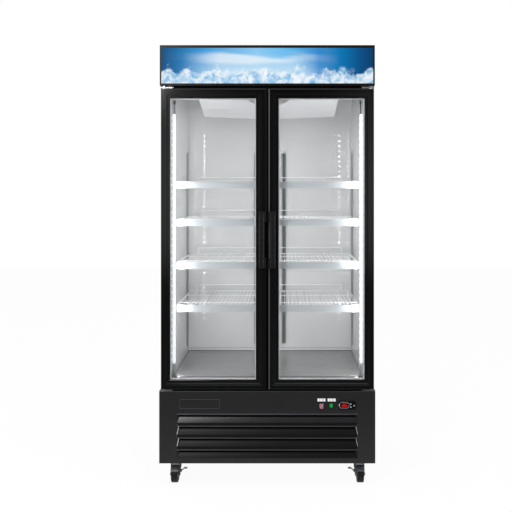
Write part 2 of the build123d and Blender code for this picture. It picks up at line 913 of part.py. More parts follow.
def front_panel():
    """Folded front panel with pressed louvres and the cut-outs of the controls."""
    sheet = panel_sheet
    rear = face_y
    shell = block(-half_width, half_width, door_front_y, rear, base_z, base_top_z)
    front_edges = shell.edges().filter_by(Axis.Z).group_by(Axis.Y)[0]
    front_edges += shell.edges().filter_by(Axis.X).group_by(Axis.Y)[0]
    shell = fillet(front_edges, radius=panel_bend)
    shell -= block(-half_width + sheet, half_width - sheet, door_front_y + sheet, rear,
                   base_z + sheet, base_top_z - sheet)
    shell -= block(-half_width, half_width, face_y - hinge_plate, rear, base_top_z - sheet, base_top_z)
    tops = [base_top_z - louvre_top_drop - index * louvre_pitch for index in range(louvre_count)]
    for top in tops:
        shell += louvre_pocket(top, sheet)
    for top in tops:
        shell -= louvre_pocket(top, 0.0)
        slot_top = top - louvre_lip
        inner = louvre_half_length - louvre_end_slope
        shell -= block(-inner, inner, door_front_y, door_front_y + louvre_depth + 2 * sheet,
                       slot_top - louvre_slot, slot_top)
    for x, z, size in switch_places():
        half_w = size[0] / 2 - switch_rim + cutout_gap
        half_h = size[1] / 2 - switch_rim + cutout_gap
        shell -= block(x - half_w, x + half_w, door_front_y, door_front_y + sheet,
                       z - half_h, z + half_h)
    half_w = thermostat_body[0] / 2 + cutout_gap
    half_h = thermostat_body[1] / 2 + cutout_gap
    z = base_z + thermostat_rise
    shell -= block(thermostat_x - half_w, thermostat_x + half_w, door_front_y, door_front_y + sheet,
                   z - half_h, z + half_h)
    return shell


def switch_places():
    """Middle and bezel size of each rocker switch."""
    z = base_z + switch_rise
    return [(power_switch_x, z, power_switch_size),
            (light_switch_x, z + light_switch_lift, light_switch_size)]


def rocker_axis_y():
    """Depth of the rockers' pivots."""
    return door_front_y - switch_bezel + rocker_pin_setback


def switch_housing(x, z, size):
    """Switch body behind the panel with its bezel in front and a pocket for the rocker."""
    front = door_front_y - switch_bezel
    w, h = size[0] / 2, size[1] / 2
    body_w, body_h = w - switch_rim, h - switch_rim
    housing = block(x - w, x + w, front, door_front_y, z - h, z + h)
    housing += block(x - body_w, x + body_w, door_front_y, door_front_y + switch_body,
                     z - body_h, z + body_h)
    pocket_w, pocket_h = body_w - switch_wall, body_h - switch_wall
    housing -= block(x - pocket_w, x + pocket_w, front, rocker_axis_y() + rocker_depth + rocker_gap,
                     z - pocket_h, z + pocket_h)
    hole = rocker_pin_radius + running_clearance
    reach = pocket_w + switch_wall / 2
    housing -= bar_x(hole, x - reach, x + reach, rocker_axis_y(), z)
    return housing


def rocker(x, z, size):
    """Rocker with a shallow valley in its face, tipped towards its lower end."""
    y = rocker_axis_y()
    front = y - rocker_pin_setback
    half_w = size[0] / 2 - switch_rim - switch_wall - rocker_gap
    half_h = (size[1] / 2 - switch_rim - switch_wall - rocker_gap) * cos(radians(rocker_tilt))
    half_h -= rocker_proud * sin(radians(rocker_tilt))
    neck = half_h - rocker_depth * tan(radians(rocker_tilt)) - rocker_gap
    outline = [(front - rocker_proud, z + half_h), (front, z), (front - rocker_proud, z - half_h),
               (y, z - half_h), (y + rocker_depth * 0.6, z - neck * 0.8),
               (y + rocker_depth * 0.6, z + neck * 0.8), (y, z + half_h)]
    shape = prism_x(outline, x - half_w, x + half_w)
    reach = half_w + rocker_gap + switch_wall / 2 - running_clearance
    shape += bar_x(rocker_pin_radius, x - reach, x + reach, y, z)
    return Pos(0, y, z) * Rot(-rocker_tilt, 0, 0) * Pos(0, -y, -z) * shape


def blank_plates():
    """Bare label plates above the switches and a bare nameplate."""
    plates = []
    middle = (power_switch_x + light_switch_x) / 2
    for side in (-1, 1):
        x = middle + side * label_gap / 2
        z = base_z + label_rise
        plates.append(block(x - label_size[0] / 2, x + label_size[0] / 2, door_front_y - label_sheet,
                            door_front_y, z - label_size[1] / 2, z + label_size[1] / 2))
    z = base_z + nameplate_rise
    half_w, half_h = nameplate_size[0] / 2, nameplate_size[1] / 2
    plates.append(block(nameplate_x - half_w, nameplate_x + half_w, door_front_y - nameplate_sheet,
                        door_front_y, z - half_h, z + half_h))
    return plates


def button_places():
    """Name and middle of each thermostat button."""
    z = base_z + thermostat_rise
    offsets = {"up": up_button_offset, "down": down_button_offset, "set": set_button_offset}
    return {name: (thermostat_x + dx, z + dz) for name, (dx, dz) in offsets.items()}


def thermostat_case():
    """Thermostat with a rounded bezel, a display window recess and its body behind the panel."""
    z = base_z + thermostat_rise
    front = door_front_y - thermostat_bezel
    face = RectangleRounded(*thermostat_size, thermostat_corner)
    case = extrude(Plane.XZ.offset(-front) * Pos(thermostat_x, z) * face,
                   amount=thermostat_bezel, dir=(0, 1, 0))
    half_w, half_h = thermostat_body[0] / 2, thermostat_body[1] / 2
    case += block(thermostat_x - half_w, thermostat_x + half_w, door_front_y,
                  door_front_y + thermostat_depth, z - half_h, z + half_h)
    window_x = thermostat_x + thermostat_window_x
    window_z = z + thermostat_window_z
    window = RectangleRounded(*thermostat_window, thermostat_window[1] * 0.45)
    case -= extrude(Plane.XZ.offset(-front) * Pos(window_x, window_z) * window,
                    amount=thermostat_window_recess, dir=(0, 1, 0))
    reach = button_length + button_travel + button_gap
    for x, button_z in button_places().values():
        case -= bar_y(button_radius + button_gap, front, front + reach, x, button_z)
    return case


def thermostat_button(place):
    """Push button in its hole."""
    x, z = place
    front = door_front_y - thermostat_bezel
    return bar_y(button_radius, front - button_proud, front + button_length, x, z)


# Base, rear grille and machinery

def base_tray():
    """Folded tray that carries the machinery and the casters."""
    top = base_z + tray_flange
    tray = block(-inside_half, inside_half, face_y, body_rear_y, base_z, top)
    tray -= block(-inside_half + tray_sheet, inside_half - tray_sheet, face_y + tray_sheet,
                  body_rear_y - tray_sheet, base_z + tray_sheet, top)
    hole = bolt_radius + screw_gap
    for x, y in bolt_places():
        tray -= bar_z(hole, base_z, base_z + tray_sheet, x, y)
    tray -= bar_y(gland_bore, body_rear_y - tray_sheet, body_rear_y, gland_x, base_z + tray_flange / 2)
    return tray


def grille_screw_places():
    """Screws through the grille's upper flange."""
    z = underside_z + grille_overlap + grille_flange / 2
    reach = half_width - 2 * bolt_margin
    return [(reach * share, z) for share in (-1.0, -0.5, 0.0, 0.5, 1.0)]


def hinge_screw_places():
    """Screws through the lower hinge flanges."""
    x = half_width - hinge_plate_width / 2 - hinge_plate
    return [(side * x, base_top_z - drop) for side in (-1, 1)
            for drop in (hinge_flange * 0.3, hinge_flange * 0.75)]


def rear_grille():
    """Shallow slotted cover over the machine compartment, notched round the cable gland."""
    top = underside_z + grille_overlap
    shell = block(-half_width, half_width, body_rear_y, rear_y, base_z, top)
    shell -= block(-half_width + grille_sheet, half_width - grille_sheet, body_rear_y,
                   rear_y - grille_sheet, base_z + grille_sheet, top - grille_sheet)
    shell += block(-half_width, half_width, body_rear_y, body_rear_y + grille_sheet,
                   top, top + grille_flange)
    middle_z = (base_z + top) / 2
    columns = int((cabinet_width - 2 * grille_margin) // grille_slot_pitch) + 1
    slots = []
    for row in range(grille_rows):
        z = middle_z + (row - (grille_rows - 1) / 2) * grille_row_pitch
        for column in range(columns):
            x = (column - (columns - 1) / 2) * grille_slot_pitch
            slots.append(block(x - grille_slot_width / 2, x + grille_slot_width / 2,
                               rear_y - grille_sheet, rear_y,
                               z - grille_slot_height / 2, z + grille_slot_height / 2))
    shell = shell.cut(*slots)
    half = gland_notch / 2
    shell -= block(gland_x - half, gland_x + half, body_rear_y, rear_y, base_z, base_z + tray_flange)
    for x, z in grille_screw_places():
        shell -= bar_y(screw_radius + screw_gap, body_rear_y, body_rear_y + grille_sheet, x, z)
    return shell


def cable_gland():
    """Cable gland on the tray's rear flange, with its open bore."""
    z = base_z + tray_flange / 2
    gland = bar_y(gland_radius, body_rear_y, body_rear_y + gland_nut, gland_x, z)
    gland += bar_y(gland_nut_radius, body_rear_y + gland_nut, body_rear_y + gland_length, gland_x, z)
    return gland - bar_y(gland_bore, body_rear_y, body_rear_y + gland_length, gland_x, z)


def compressor():
    """Hermetic compressor: a domed can on a plate with four feet."""
    low = base_z + tray_sheet
    plate_z = low + compressor_foot
    half_w, half_d = compressor_plate[0] / 2, compressor_plate[1] / 2
    can_z = plate_z + compressor_plate_sheet
    shoulder = can_z + compressor_wall_height
    body = bar_z(compressor_radius, can_z, shoulder, compressor_x, compressor_y)
    sphere_radius = (compressor_radius ** 2 + compressor_dome ** 2) / (2 * compressor_dome)
    dome = Pos(compressor_x, compressor_y, shoulder + compressor_dome - sphere_radius)
    dome = dome * Sphere(sphere_radius)
    above = block(compressor_x - sphere_radius, compressor_x + sphere_radius,
                  compressor_y - sphere_radius, compressor_y + sphere_radius,
                  shoulder, shoulder + compressor_dome)
    body += dome & above
    body += block(compressor_x - half_w, compressor_x + half_w, compressor_y - half_d,
                  compressor_y + half_d, plate_z, can_z)
    inset = compressor_foot_radius + compressor_foot / 2
    for x in (-half_w + inset, half_w - inset):
        for y in (-half_d + inset, half_d - inset):
            body += bar_z(compressor_foot_radius, low, plate_z, compressor_x + x, compressor_y + y)
    return body


def condenser_front():
    """Front plane of the condenser."""
    return face_y + condenser_front_gap


def condenser_coil():
    """Finned condenser block standing on the tray between its end plates."""
    front = condenser_front()
    rear = front + condenser_depth
    low = base_z + tray_sheet
    lift = low + end_plate * 3
    start = condenser_x - condenser_half_width
    count = int(2 * condenser_half_width // fin_pitch)
    points = [(start, front)]
    for index in range(count):
        left = start + index * fin_pitch
        points += [(left, rear), (left + fin_sheet, rear), (left + fin_sheet, front + fin_spine),
                   (left + fin_pitch, front + fin_spine)]
    right = start + count * fin_pitch
    points += [(right, rear), (right + fin_sheet, rear), (right + fin_sheet, front)]
    fins = prism_z(points, lift, lift + condenser_height)
    plates = [block(x, x + end_plate, front, rear, low, lift + condenser_height)
              for x in (start - end_plate, right + fin_sheet)]
    return [fins] + plates


def condenser_fan_place():
    """Place of the condenser fan, its axis pointing rearwards."""
    y = condenser_front() + condenser_depth + condenser_fan_gap - fan_lift
    z = base_z + tray_sheet + end_plate * 3 + condenser_height / 2
    return Pos(condenser_x, y, z) * Rot(-90, 0, 0)


def condenser_fan_blade():
    """Condenser fan on its motor shaft."""
    return condenser_fan_place() * Pos(0, 0, fan_lift) * fan_blade(condenser_fan_radius)


def condenser_motor():
    """Motor on a bracket that stands on the tray."""
    height = fan_lift + fan_hub_height + condenser_motor_gap
    drive = condenser_fan_place() * motor(height)
    bounds = condenser_fan_place() * Pos(0, 0, height)
    y = bounds.position.Y
    z = bounds.position.Z
    half = condenser_motor_foot / 2
    low = base_z + tray_sheet
    upright = block(condenser_x - half, condenser_x + half, y, y + motor_bar_sheet, low, z + motor_radius)
    foot = block(condenser_x - half, condenser_x + half, y, y + motor_radius, low,
                 low + motor_bar_sheet)
    shaft_hole = bar_y(shaft_radius, y, y + motor_bar_sheet, condenser_x, z)
    return (upright - shaft_hole) + foot + drive


def pipe(points):
    """Round pipe along straight runs with rounded corners."""
    path = FilletPolyline(*points, radius=pipe_bend)
    direction = Vector(*points[1]) - Vector(*points[0])
    return sweep(Plane(origin=points[0], z_dir=direction) * Circle(pipe_radius), path=path)


def refrigerant_pipes():
    """Suction, discharge and liquid lines between compressor, condenser and cabinet floor."""
    side_x = compressor_x + compressor_radius
    can_z = base_z + tray_sheet + compressor_foot + compressor_plate_sheet
    coil_x = condenser_x - condenser_half_width - end_plate
    coil_y = condenser_front() + condenser_depth / 2
    low_z = can_z + compressor_wall_height * 0.3
    high_z = can_z + compressor_wall_height * 0.8
    mid_x = (side_x + coil_x) / 2
    top = underside_z
    suction = [(side_x, compressor_y, high_z), (mid_x, compressor_y, high_z), (mid_x, compressor_y, top)]
    discharge = [(side_x, compressor_y, low_z), (mid_x, compressor_y, low_z),
                 (mid_x, coil_y, low_z), (coil_x, coil_y, low_z)]
    liquid_z = base_z + tray_sheet + condenser_height * 0.85
    liquid_x = (mid_x + coil_x) / 2
    liquid = [(coil_x, coil_y, liquid_z), (liquid_x, coil_y, liquid_z),
              (liquid_x, compressor_y, liquid_z), (liquid_x, compressor_y, top)]
    return [pipe(route) for route in (suction, discharge, liquid)]


# Doors, built on the right-hand side

def frame_outline(width):
    """Section of a door member: (distance from the outer edge, distance behind the front)."""
    tube = width - frame_lip
    glass_front = lip_setback + lip_thickness
    glass_rear = glass_front + 2 * glass_thickness + glass_cavity
    return [(0, edge_bevel), (edge_bevel, 0), (edge_step, 0), (edge_step + edge_bevel / 2, edge_bevel / 2),
            (edge_step + edge_bevel, 0), (tube - edge_bevel, 0), (tube, lip_setback * 0.6),
            (width - lip_setback, lip_setback), (width, glass_front),
            (tube, glass_front), (tube, glass_rear), (tube + bead_width, glass_rear),
            (tube + bead_width, glass_rear + bead_thickness / 2), (tube, glass_rear + bead_thickness),
            (tube, door_depth), (0, door_depth)]


def door_frame():
    """Four mitred members round the glass, with a blind bore at each end of the hinge stile."""
    x0, x1 = door_inner_x, door_outer_x
    z0, z1 = door_bottom_z, door_top_z
    inner_x0, inner_x1 = x0 + latch_stile, x1 - hinge_stile
    inner_z0, inner_z1 = z0 + rail_width, z1 - rail_width
    front = door_front_y
    latch = prism_z([(x0 + u, front + v) for u, v in frame_outline(latch_stile)], z0, z1)
    hinge = prism_z([(x1 - u, front + v) for u, v in frame_outline(hinge_stile)], z0, z1)
    lower = prism_x([(front + v, z0 + u) for u, v in frame_outline(rail_width)], x0, x1)
    upper = prism_x([(front + v, z1 - u) for u, v in frame_outline(rail_width)], x0, x1)
    mitres = {
        "latch": [(x0, z0), (inner_x0, inner_z0), (inner_x0, inner_z1), (x0, z1)],
        "hinge": [(x1, z0), (x1, z1), (inner_x1, inner_z1), (inner_x1, inner_z0)],
        "lower": [(x0, z0), (x1, z0), (inner_x1, inner_z0), (inner_x0, inner_z0)],
        "upper": [(x0, z1), (inner_x0, inner_z1), (inner_x1, inner_z1), (x1, z1)],
    }
    members = {"latch": latch, "hinge": hinge, "lower": lower, "upper": upper}
    bore_radius = hinge_pin_radius + running_clearance
    depth = hinge_pin_length + race_gap
    bores = [bar_z(bore_radius, z0, z0 + depth, hinge_x, hinge_y),
             bar_z(bore_radius, z1 - depth, z1, hinge_x, hinge_y)]
    frame = []
    for name, member in members.items():
        piece = member & prism_y(mitres[name], front, front + door_depth)
        frame.append(piece.cut(*bores))
    return frame


def ring(x0, x1, z0, z1, width, y0, y1):
    """Rectangular ring in the plane of a door."""
    outer = block(x0, x1, y0, y1, z0, z1)
    return outer - block(x0 + width, x1 - width, y0, y1, z0 + width, z1 - width)


def door_glass():
    """Two panes and the spacer frame between them."""
    x0 = door_inner_x + latch_stile - glass_bite
    x1 = door_outer_x - hinge_stile + glass_bite
    z0 = door_bottom_z + rail_width - glass_bite
    z1 = door_top_z - rail_width + glass_bite
    front = door_front_y + lip_setback + lip_thickness
    inner = front + glass_thickness
    outer_pane = block(x0, x1, front, inner, z0, z1)
    inner_pane = block(x0, x1, inner + glass_cavity, inner + glass_cavity + glass_thickness, z0, z1)
    spacer = ring(x0, x1, z0, z1, spacer_width, inner, inner + glass_cavity)
    return [outer_pane, inner_pane, spacer]


def door_gasket():
    """Gasket ring on the back of the door, clear of the hinge axis on that side."""
    x0 = door_inner_x + gasket_inset
    x1 = hinge_x - gasket_clearance
    z0 = door_bottom_z + gasket_inset
    z1 = door_top_z - gasket_inset
    return ring(x0, x1, z0, z1, gasket_width, door_back_y, face_y - gasket_clearance)


def door_handle():
    """Pull with a post at each end that wraps to the door edge, and a finger gap between them."""
    middle_z = (door_bottom_z + door_top_z) / 2 - handle_drop
    low, high = middle_z - handle_height / 2, middle_z + handle_height / 2
    left = door_inner_x + handle_edge_inset
    right = left + handle_width
    plate_rear = front_y + handle_plate
    handle = block(left, right, front_y, plate_rear, low, high)
    for z0, z1 in ((low, low + handle_post), (high - handle_post, high)):
        handle += block(door_inner_x, right, front_y, door_front_y, z0, z1)
    upright = [edge for edge in handle.edges().filter_by(Axis.Z)
               if abs(edge.center().Y - front_y) < 0.01]
    handle = fillet(upright, radius=handle_recess * 2)
    handle -= block(left + handle_border, right - handle_border, front_y, front_y + handle_recess,
                    low + handle_border, high - handle_border)
    return handle


# Hinges

def hinge_pair(level, direction):
    """Right-hand bracket: a plate with its pin and collar, and a flange on the cabinet face."""
    plate_end = level + direction * hinge_plate
    x0 = half_width - hinge_plate - hinge_plate_width
    x1 = half_width - hinge_plate
    reach = hinge_y - hinge_plate_reach
    low, high = sorted((level, plate_end))
    bracket = block(x0, x1, reach, face_y, low, high)
    flange_end = plate_end - direction * (hinge_plate + hinge_flange)
    flange_low, flange_high = sorted((level, flange_end))
    bracket += block(x0, x1, face_y - hinge_plate, face_y, flange_low, flange_high)
    door_edge = door_bottom_z if direction > 0 else door_top_z
    collar_end = door_edge - direction * hinge_collar_gap
    bracket += bar_z(hinge_collar_radius, *sorted((plate_end, collar_end)), hinge_x, hinge_y)
    pin_end = door_edge + direction * hinge_pin_length
    bracket += bar_z(hinge_pin_radius, *sorted((plate_end, pin_end)), hinge_x, hinge_y)
    if direction < 0:
        nut = RegularPolygon(hinge_nut_radius, 6)
        bracket += extrude(Plane.XY.offset(level) * Pos(hinge_x, hinge_y) * nut,
                           amount=hinge_nut_height, dir=(0, 0, 1))
    return bracket


def hinge_brackets():
    """Upper and lower brackets of both doors."""
    lower = hinge_pair(base_top_z, 1)
    for x, z in hinge_screw_places():
        if x > 0:
            lower -= bar_y(screw_radius + screw_gap, face_y - hinge_plate, face_y, x, z)
    upper = hinge_pair(canopy_bottom_z - upper_gap / 2, -1)
    return both_sides(lower) + both_sides(upper)


# Casters, built at the right-hand side with the trail towards -Y

def caster_places():
    """Name, middle, side and trail direction of each caster."""
    return {
        "front_left": (-caster_x, caster_front_y, -1),
        "front_right": (caster_x, caster_front_y, -1),
        "rear_left": (-caster_x, caster_rear_y, 1),
        "rear_right": (caster_x, caster_rear_y, 1),
    }


def bolt_places():
    """Bolts through the caster plates and the tray."""
    dx = caster_plate_size[0] / 2 - bolt_margin
    dy = caster_plate_size[1] / 2 - bolt_margin
    return [(x + sx * dx, y + sy * dy) for x, y, _ in caster_places().values()
            for sx in (-1, 1) for sy in (-1, 1)]


def caster_plate(x, y):
    """Top plate with the upper race and the king pin."""
    top = base_z
    low = top - caster_plate_sheet
    half_w, half_d = caster_plate_size[0] / 2, caster_plate_size[1] / 2
    plate = block(x - half_w, x + half_w, y - half_d, y + half_d, low, top)
    race_low = low - upper_race_height
    plate += bar_z(race_radius, race_low, low, x, y)
    crown_low = race_low - race_gap - lower_race_height - crown_sheet
    head_top = crown_low - race_gap
    plate += bar_z(king_pin_radius, head_top, race_low, x, y)
    plate += bar_z(king_pin_head, head_top - king_pin_head_height, head_top, x, y)
    hole = bolt_radius + screw_gap
    for bolt_x, bolt_y in bolt_places():
        if abs(bolt_x - x) < half_w and abs(bolt_y - y) < half_d:
            plate -= bar_z(hole, low, top, bolt_x, bolt_y)
    return plate


def caster_fork(x, y, trail):
    """Swivel fork with its lower race and axle bolt; front forks also carry the pedal's ears."""
    race_top = base_z - caster_plate_sheet - upper_race_height - race_gap
    race_low = race_top - lower_race_height
    crown_low = race_low - crown_sheet
    axle_y = y + trail * caster_trail
    half_crown = fork_crown_length / 2
    fork = bar_z(lower_race_radius, race_low, race_top, x, y)
    fork += block(x - fork_outer, x + fork_outer, y - half_crown, y + half_crown, crown_low, race_low)
    edge = trail * half_crown
    eye = fork_eye_radius
    leg = [(y - edge * 0.6, race_low), (y + edge, race_low), (axle_y + trail * eye, wheel_z + eye / 2),
           (axle_y + trail * eye * 0.5, wheel_z - eye), (axle_y - trail * eye * 0.5, wheel_z - eye),
           (axle_y - trail * eye, wheel_z + eye / 2)]
    for side in (-1, 1):
        inner, outer = sorted((x + side * fork_inner, x + side * fork_outer))
        fork += prism_x(leg, inner, outer)
    fork -= bar_z(king_pin_radius + running_clearance, crown_low, race_top, x, y)
    fork -= bar_x(axle_radius + running_clearance, x - fork_outer, x + fork_outer, axle_y, wheel_z)
    axle = bar_x(axle_radius, x - fork_outer, x + fork_outer, axle_y, wheel_z)
    for side in (-1, 1):
        axle += bar_x(axle_head_radius, *sorted((x + side * fork_outer, x + side * (fork_outer + axle_head))),
                      axle_y, wheel_z)
    if trail < 0:
        inward = -1 if x > 0 else 1
        fork += pedal_ears(x, axle_y, inward)
    return [fork, axle]


def pedal_pivot(x, inward):
    """Middle of the pedal's pin."""
    return x + inward * (fork_outer + pedal_pivot_out), wheel_z + pedal_pivot_rise + axle_head_radius


def pedal_ears(x, axle_y, inward):
    """Two ears on the inner fork leg with the pin of the brake pedal between them."""
    pivot_x, pivot_z = pedal_pivot(x, inward)
    gap = pedal_width / 2 + race_gap
    root = x + inward * fork_outer
    size = pedal_hub_radius
    ears = bar_y(pedal_pin_radius, axle_y - gap - pedal_ear, axle_y + gap + pedal_ear, pivot_x, pivot_z)
    for side in (-1, 1):
        y0, y1 = sorted((axle_y + side * gap, axle_y + side * (gap + pedal_ear)))
        x0, x1 = sorted((root, pivot_x))
        ears += block(x0, x1, y0, y1, pivot_z - size, pivot_z + size)
        ears += bar_y(size, y0, y1, pivot_x, pivot_z)
    return ears


def brake_pedal(x, y):
    """Brake pedal: a bent strip that rises inwards from its hub."""
    inward = -1 if x > 0 else 1
    axle_y = y - caster_trail
    pivot_x, pivot_z = pedal_pivot(x, inward)
    half = pedal_width / 2
    hub = bar_y(pedal_hub_radius, axle_y - half, axle_y + half, pivot_x, pivot_z)
    slope_x = pivot_x + inward * pedal_slope_run
    slope_z = pivot_z + pedal_slope_rise
    end_x = slope_x + inward * pedal_flat
    thick = pedal_sheet
    outline = [(pivot_x, pivot_z + thick / 2), (slope_x, slope_z + thick / 2),
               (end_x, slope_z + thick / 2), (end_x, slope_z - thick / 2),
               (slope_x + inward * thick * 0.4, slope_z - thick / 2),
               (pivot_x + inward * thick * 0.8, pivot_z - thick / 2)]
    hub += prism_y(outline, axle_y - half, axle_y + half)
    return hub - bar_y(pedal_pin_radius + running_clearance, axle_y - half, axle_y + half,
                       pivot_x, pivot_z)


def caster_wheel(x, y, trail):
    """Wheel with a rounded tread and dished faces."""
    axle_y = y + trail * caster_trail
    half = wheel_width / 2
    tyre = Cylinder(wheel_radius, wheel_width)
    rims = tyre.edges().filter_by(GeomType.CIRCLE)
    tyre = fillet(rims, radius=wheel_round)
    for side in (-1, 1):
        dish = Cylinder(wheel_dish_radius, wheel_dish_depth) - Cylinder(wheel_hub_radius, wheel_dish_depth)
        tyre -= Pos(0, 0, side * (half - wheel_dish_depth / 2)) * dish
    tyre -= Cylinder(axle_radius + running_clearance, wheel_width)
    return Pos(x, axle_y, wheel_z) * Rot(0, 90, 0) * tyre


# Fasteners

def screws_and_bolts():
    """Caster bolts, rear grille screws and lower hinge screws."""
    pieces = []
    head_top = base_z - caster_plate_sheet
    for x, y in bolt_places():
        bolt = bar_z(bolt_head_radius, head_top - bolt_head, head_top, x, y)
        pieces.append(bolt + bar_z(bolt_radius, head_top, head_top + bolt_length, x, y))
    for x, z in grille_screw_places():
        face = body_rear_y + grille_sheet
        screw = bar_y(screw_head_radius, face, face + screw_head, x, z)
        pieces.append(screw + bar_y(screw_radius, face - screw_length, face, x, z))
    for x, z in hinge_screw_places():
        face = face_y - hinge_plate
        screw = bar_y(screw_head_radius, face - screw_head, face, x, z)
        pieces.append(screw + bar_y(screw_radius, face, face + screw_length, x, z))
    return pieces


def drilled(piece):
    """A cabinet wall with the holes of the screws that go through it."""
    radius = screw_radius + screw_gap
    holes = []
    for x, z in grille_screw_places():
        face = body_rear_y + grille_sheet
        holes.append(bar_y(radius, face - screw_length, face, x, z))
    for x, z in hinge_screw_places():
        face = face_y - hinge_plate
        holes.append(bar_y(radius, face, face + screw_length, x, z))
    return piece.cut(*holes)


def main():
    """Builds every node and writes it."""
    os.makedirs("parts", exist_ok=True)
    write("side_panels", side_panels())
    write("rear_panel", drilled(rear_panel()))
    write("roof_and_underside", roof_and_underside())
    write("foam_insulation", drilled(foam_insulation()))
    write("inner_liner", inner_liner())
    write("face_frame", drilled(face_frame()))
    write("floor_deck", floor_deck())
    write("center_mullion", center_mullion())
    write("shelf_pilasters", shelf_pilasters())
    write("shelf_clips", shelf_clips())
    write("right_shelves", shelves(1))
    write("left_shelves", shelves(-1))
    write("ticket_rails", ticket_rails())
    write("led_strips", led_channels() + led_boards())
    write("led_leads", led_leads())
    write("evaporator_cover", evaporator_cover())
    write("evaporator_coil", evaporator_coil())
    write("evaporator_fan_guard", evaporator_fan_guard())
    write("evaporator_fan_blade", evaporator_fan_blade())
    write("fan_motors", [evaporator_motor(), condenser_motor()])
    write("canopy_housing", canopy_housing())
    write("canopy_panel", canopy_panel())
    write("canopy_lamp", canopy_lamp())
    write("front_panel", front_panel())
    housings = [switch_housing(*place) for place in switch_places()]
    write("switch_housings", housings)
    write("power_rocker", rocker(*switch_places()[0]))
    write("light_rocker", rocker(*switch_places()[1]))
    write("blank_plates", blank_plates())
    write("thermostat_case", thermostat_case())
    for name, place in button_places().items():
        write(f"thermostat_{name}_button", thermostat_button(place))
    write("base_tray", base_tray())
    write("rear_grille", rear_grille())
    write("cable_gland", cable_gland())
    write("compressor", compressor())
    write("condenser_coil", condenser_coil())
    write("condenser_fan_blade", condenser_fan_blade())
    write("refrigerant_pipes", refrigerant_pipes())
    door = {"frame": door_frame(), "glass": door_glass(), "gasket": [door_gasket()],
            "handle": [door_handle()]}
    for name, pieces in door.items():
        write(f"right_door_{name}", pieces)
        write(f"left_door_{name}", [mirrored(piece) for piece in pieces])
    write("hinge_brackets", hinge_brackets())
    write("caster_plates", [caster_plate(x, y) for x, y, _ in caster_places().values()])
    for name, (x, y, trail) in caster_places().items():
        write(f"caster_fork_{name}", caster_fork(x, y, trail))
        write(f"caster_wheel_{name}", caster_wheel(x, y, trail))
        if trail < 0:
            write(f"brake_pedal_{'right' if x > 0 else 'left'}", brake_pedal(x, y))
    write("screws_and_bolts", screws_and_bolts())


main()
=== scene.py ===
"""Looks of a two-door glass merchandiser refrigerator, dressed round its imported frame.

Every length is in metres and every place is in the frame's own axes: Z is up, the doors face -Y
and X runs to the right of someone who stands in front of the doors.
"""

import functools
import json
import logging
import math
import operator
from dataclasses import dataclass, replace
from enum import Enum

import bmesh
import bpy
import numpy as np
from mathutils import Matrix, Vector


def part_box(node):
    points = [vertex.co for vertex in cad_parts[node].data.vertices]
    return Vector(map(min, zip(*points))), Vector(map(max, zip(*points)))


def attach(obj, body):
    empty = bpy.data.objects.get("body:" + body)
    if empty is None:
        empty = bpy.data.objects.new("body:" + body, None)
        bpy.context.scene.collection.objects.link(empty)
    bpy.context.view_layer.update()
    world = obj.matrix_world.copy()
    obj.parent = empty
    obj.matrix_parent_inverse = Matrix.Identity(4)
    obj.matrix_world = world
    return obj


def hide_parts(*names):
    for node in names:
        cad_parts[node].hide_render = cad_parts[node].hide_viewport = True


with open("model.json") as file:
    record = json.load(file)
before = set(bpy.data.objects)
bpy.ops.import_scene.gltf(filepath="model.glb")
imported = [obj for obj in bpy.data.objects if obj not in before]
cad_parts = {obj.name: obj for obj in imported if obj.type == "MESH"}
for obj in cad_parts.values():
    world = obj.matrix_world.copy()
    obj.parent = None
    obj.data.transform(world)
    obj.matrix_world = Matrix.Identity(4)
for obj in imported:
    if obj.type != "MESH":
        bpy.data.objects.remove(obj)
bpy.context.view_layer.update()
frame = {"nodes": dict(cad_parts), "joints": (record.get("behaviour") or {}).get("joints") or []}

MM = 0.001
Socket = bpy.types.NodeSocket
Tree = bpy.types.NodeTree
log = logging.getLogger("merchandiser")


class Side(Enum):
    """Left or right half of the cabinet, with its sign along X."""

    LEFT = -1
    RIGHT = 1

    @property
    def word(self) -> str:
        """Name of the side as the nodes and bodies write it."""
        return self.name.lower()


class Axis(Enum):
    """Number of the coordinate that runs along an axis."""

    X = 0
    Y = 1
    Z = 2


def linear(code: str) -> tuple[float, float, float, float]:
    """Turns an sRGB hex colour into linear red, green, blue and alpha.

    Args:
        code: Colour such as "#1b2c3d".

    Returns:
        Four numbers from 0 to 1, the last of them 1.
    """
    share = [int(code[start:start + 2], 16) / 255 for start in (1, 3, 5)]
    lit = [c / 12.92 if c <= 0.04045 else ((c + 0.055) / 1.055) ** 2.4 for c in share]
    return (*lit, 1.0)


def add(tree: Tree, kind: str, inputs: dict | None = None,
        stops: tuple = (), **settings) -> bpy.types.Node:
    """Adds one node to a tree, sets it and links it.

    Args:
        tree: Tree that gets the node.
        kind: Type of the node, as Blender names it.
        inputs: Value or output socket for each input, by name or number.
        stops: Places and sRGB colours of a colour ramp, from low to high.
        settings: Other properties of the node.

    Returns:
        The new node.
    """
    node = tree.nodes.new(kind)
    for name, value in settings.items():
        setattr(node, name, value)
    for key, value in (inputs or {}).items():
        if isinstance(value, Socket):
            tree.links.new(value, node.inputs[key])
        else:
            node.inputs[key].default_value = value
    for index, (place, code) in enumerate(stops):
        elements = node.color_ramp.elements
        element = elements[index] if index < 2 else elements.new(place)
        element.position = place
        element.color = linear(code)
    return node


def emptied(owner: bpy.types.Material | bpy.types.World) -> Tree:
    """Turns a material's or world's nodes on and clears them."""
    owner.use_nodes = True
    owner.node_tree.nodes.clear()
    return owner.node_tree


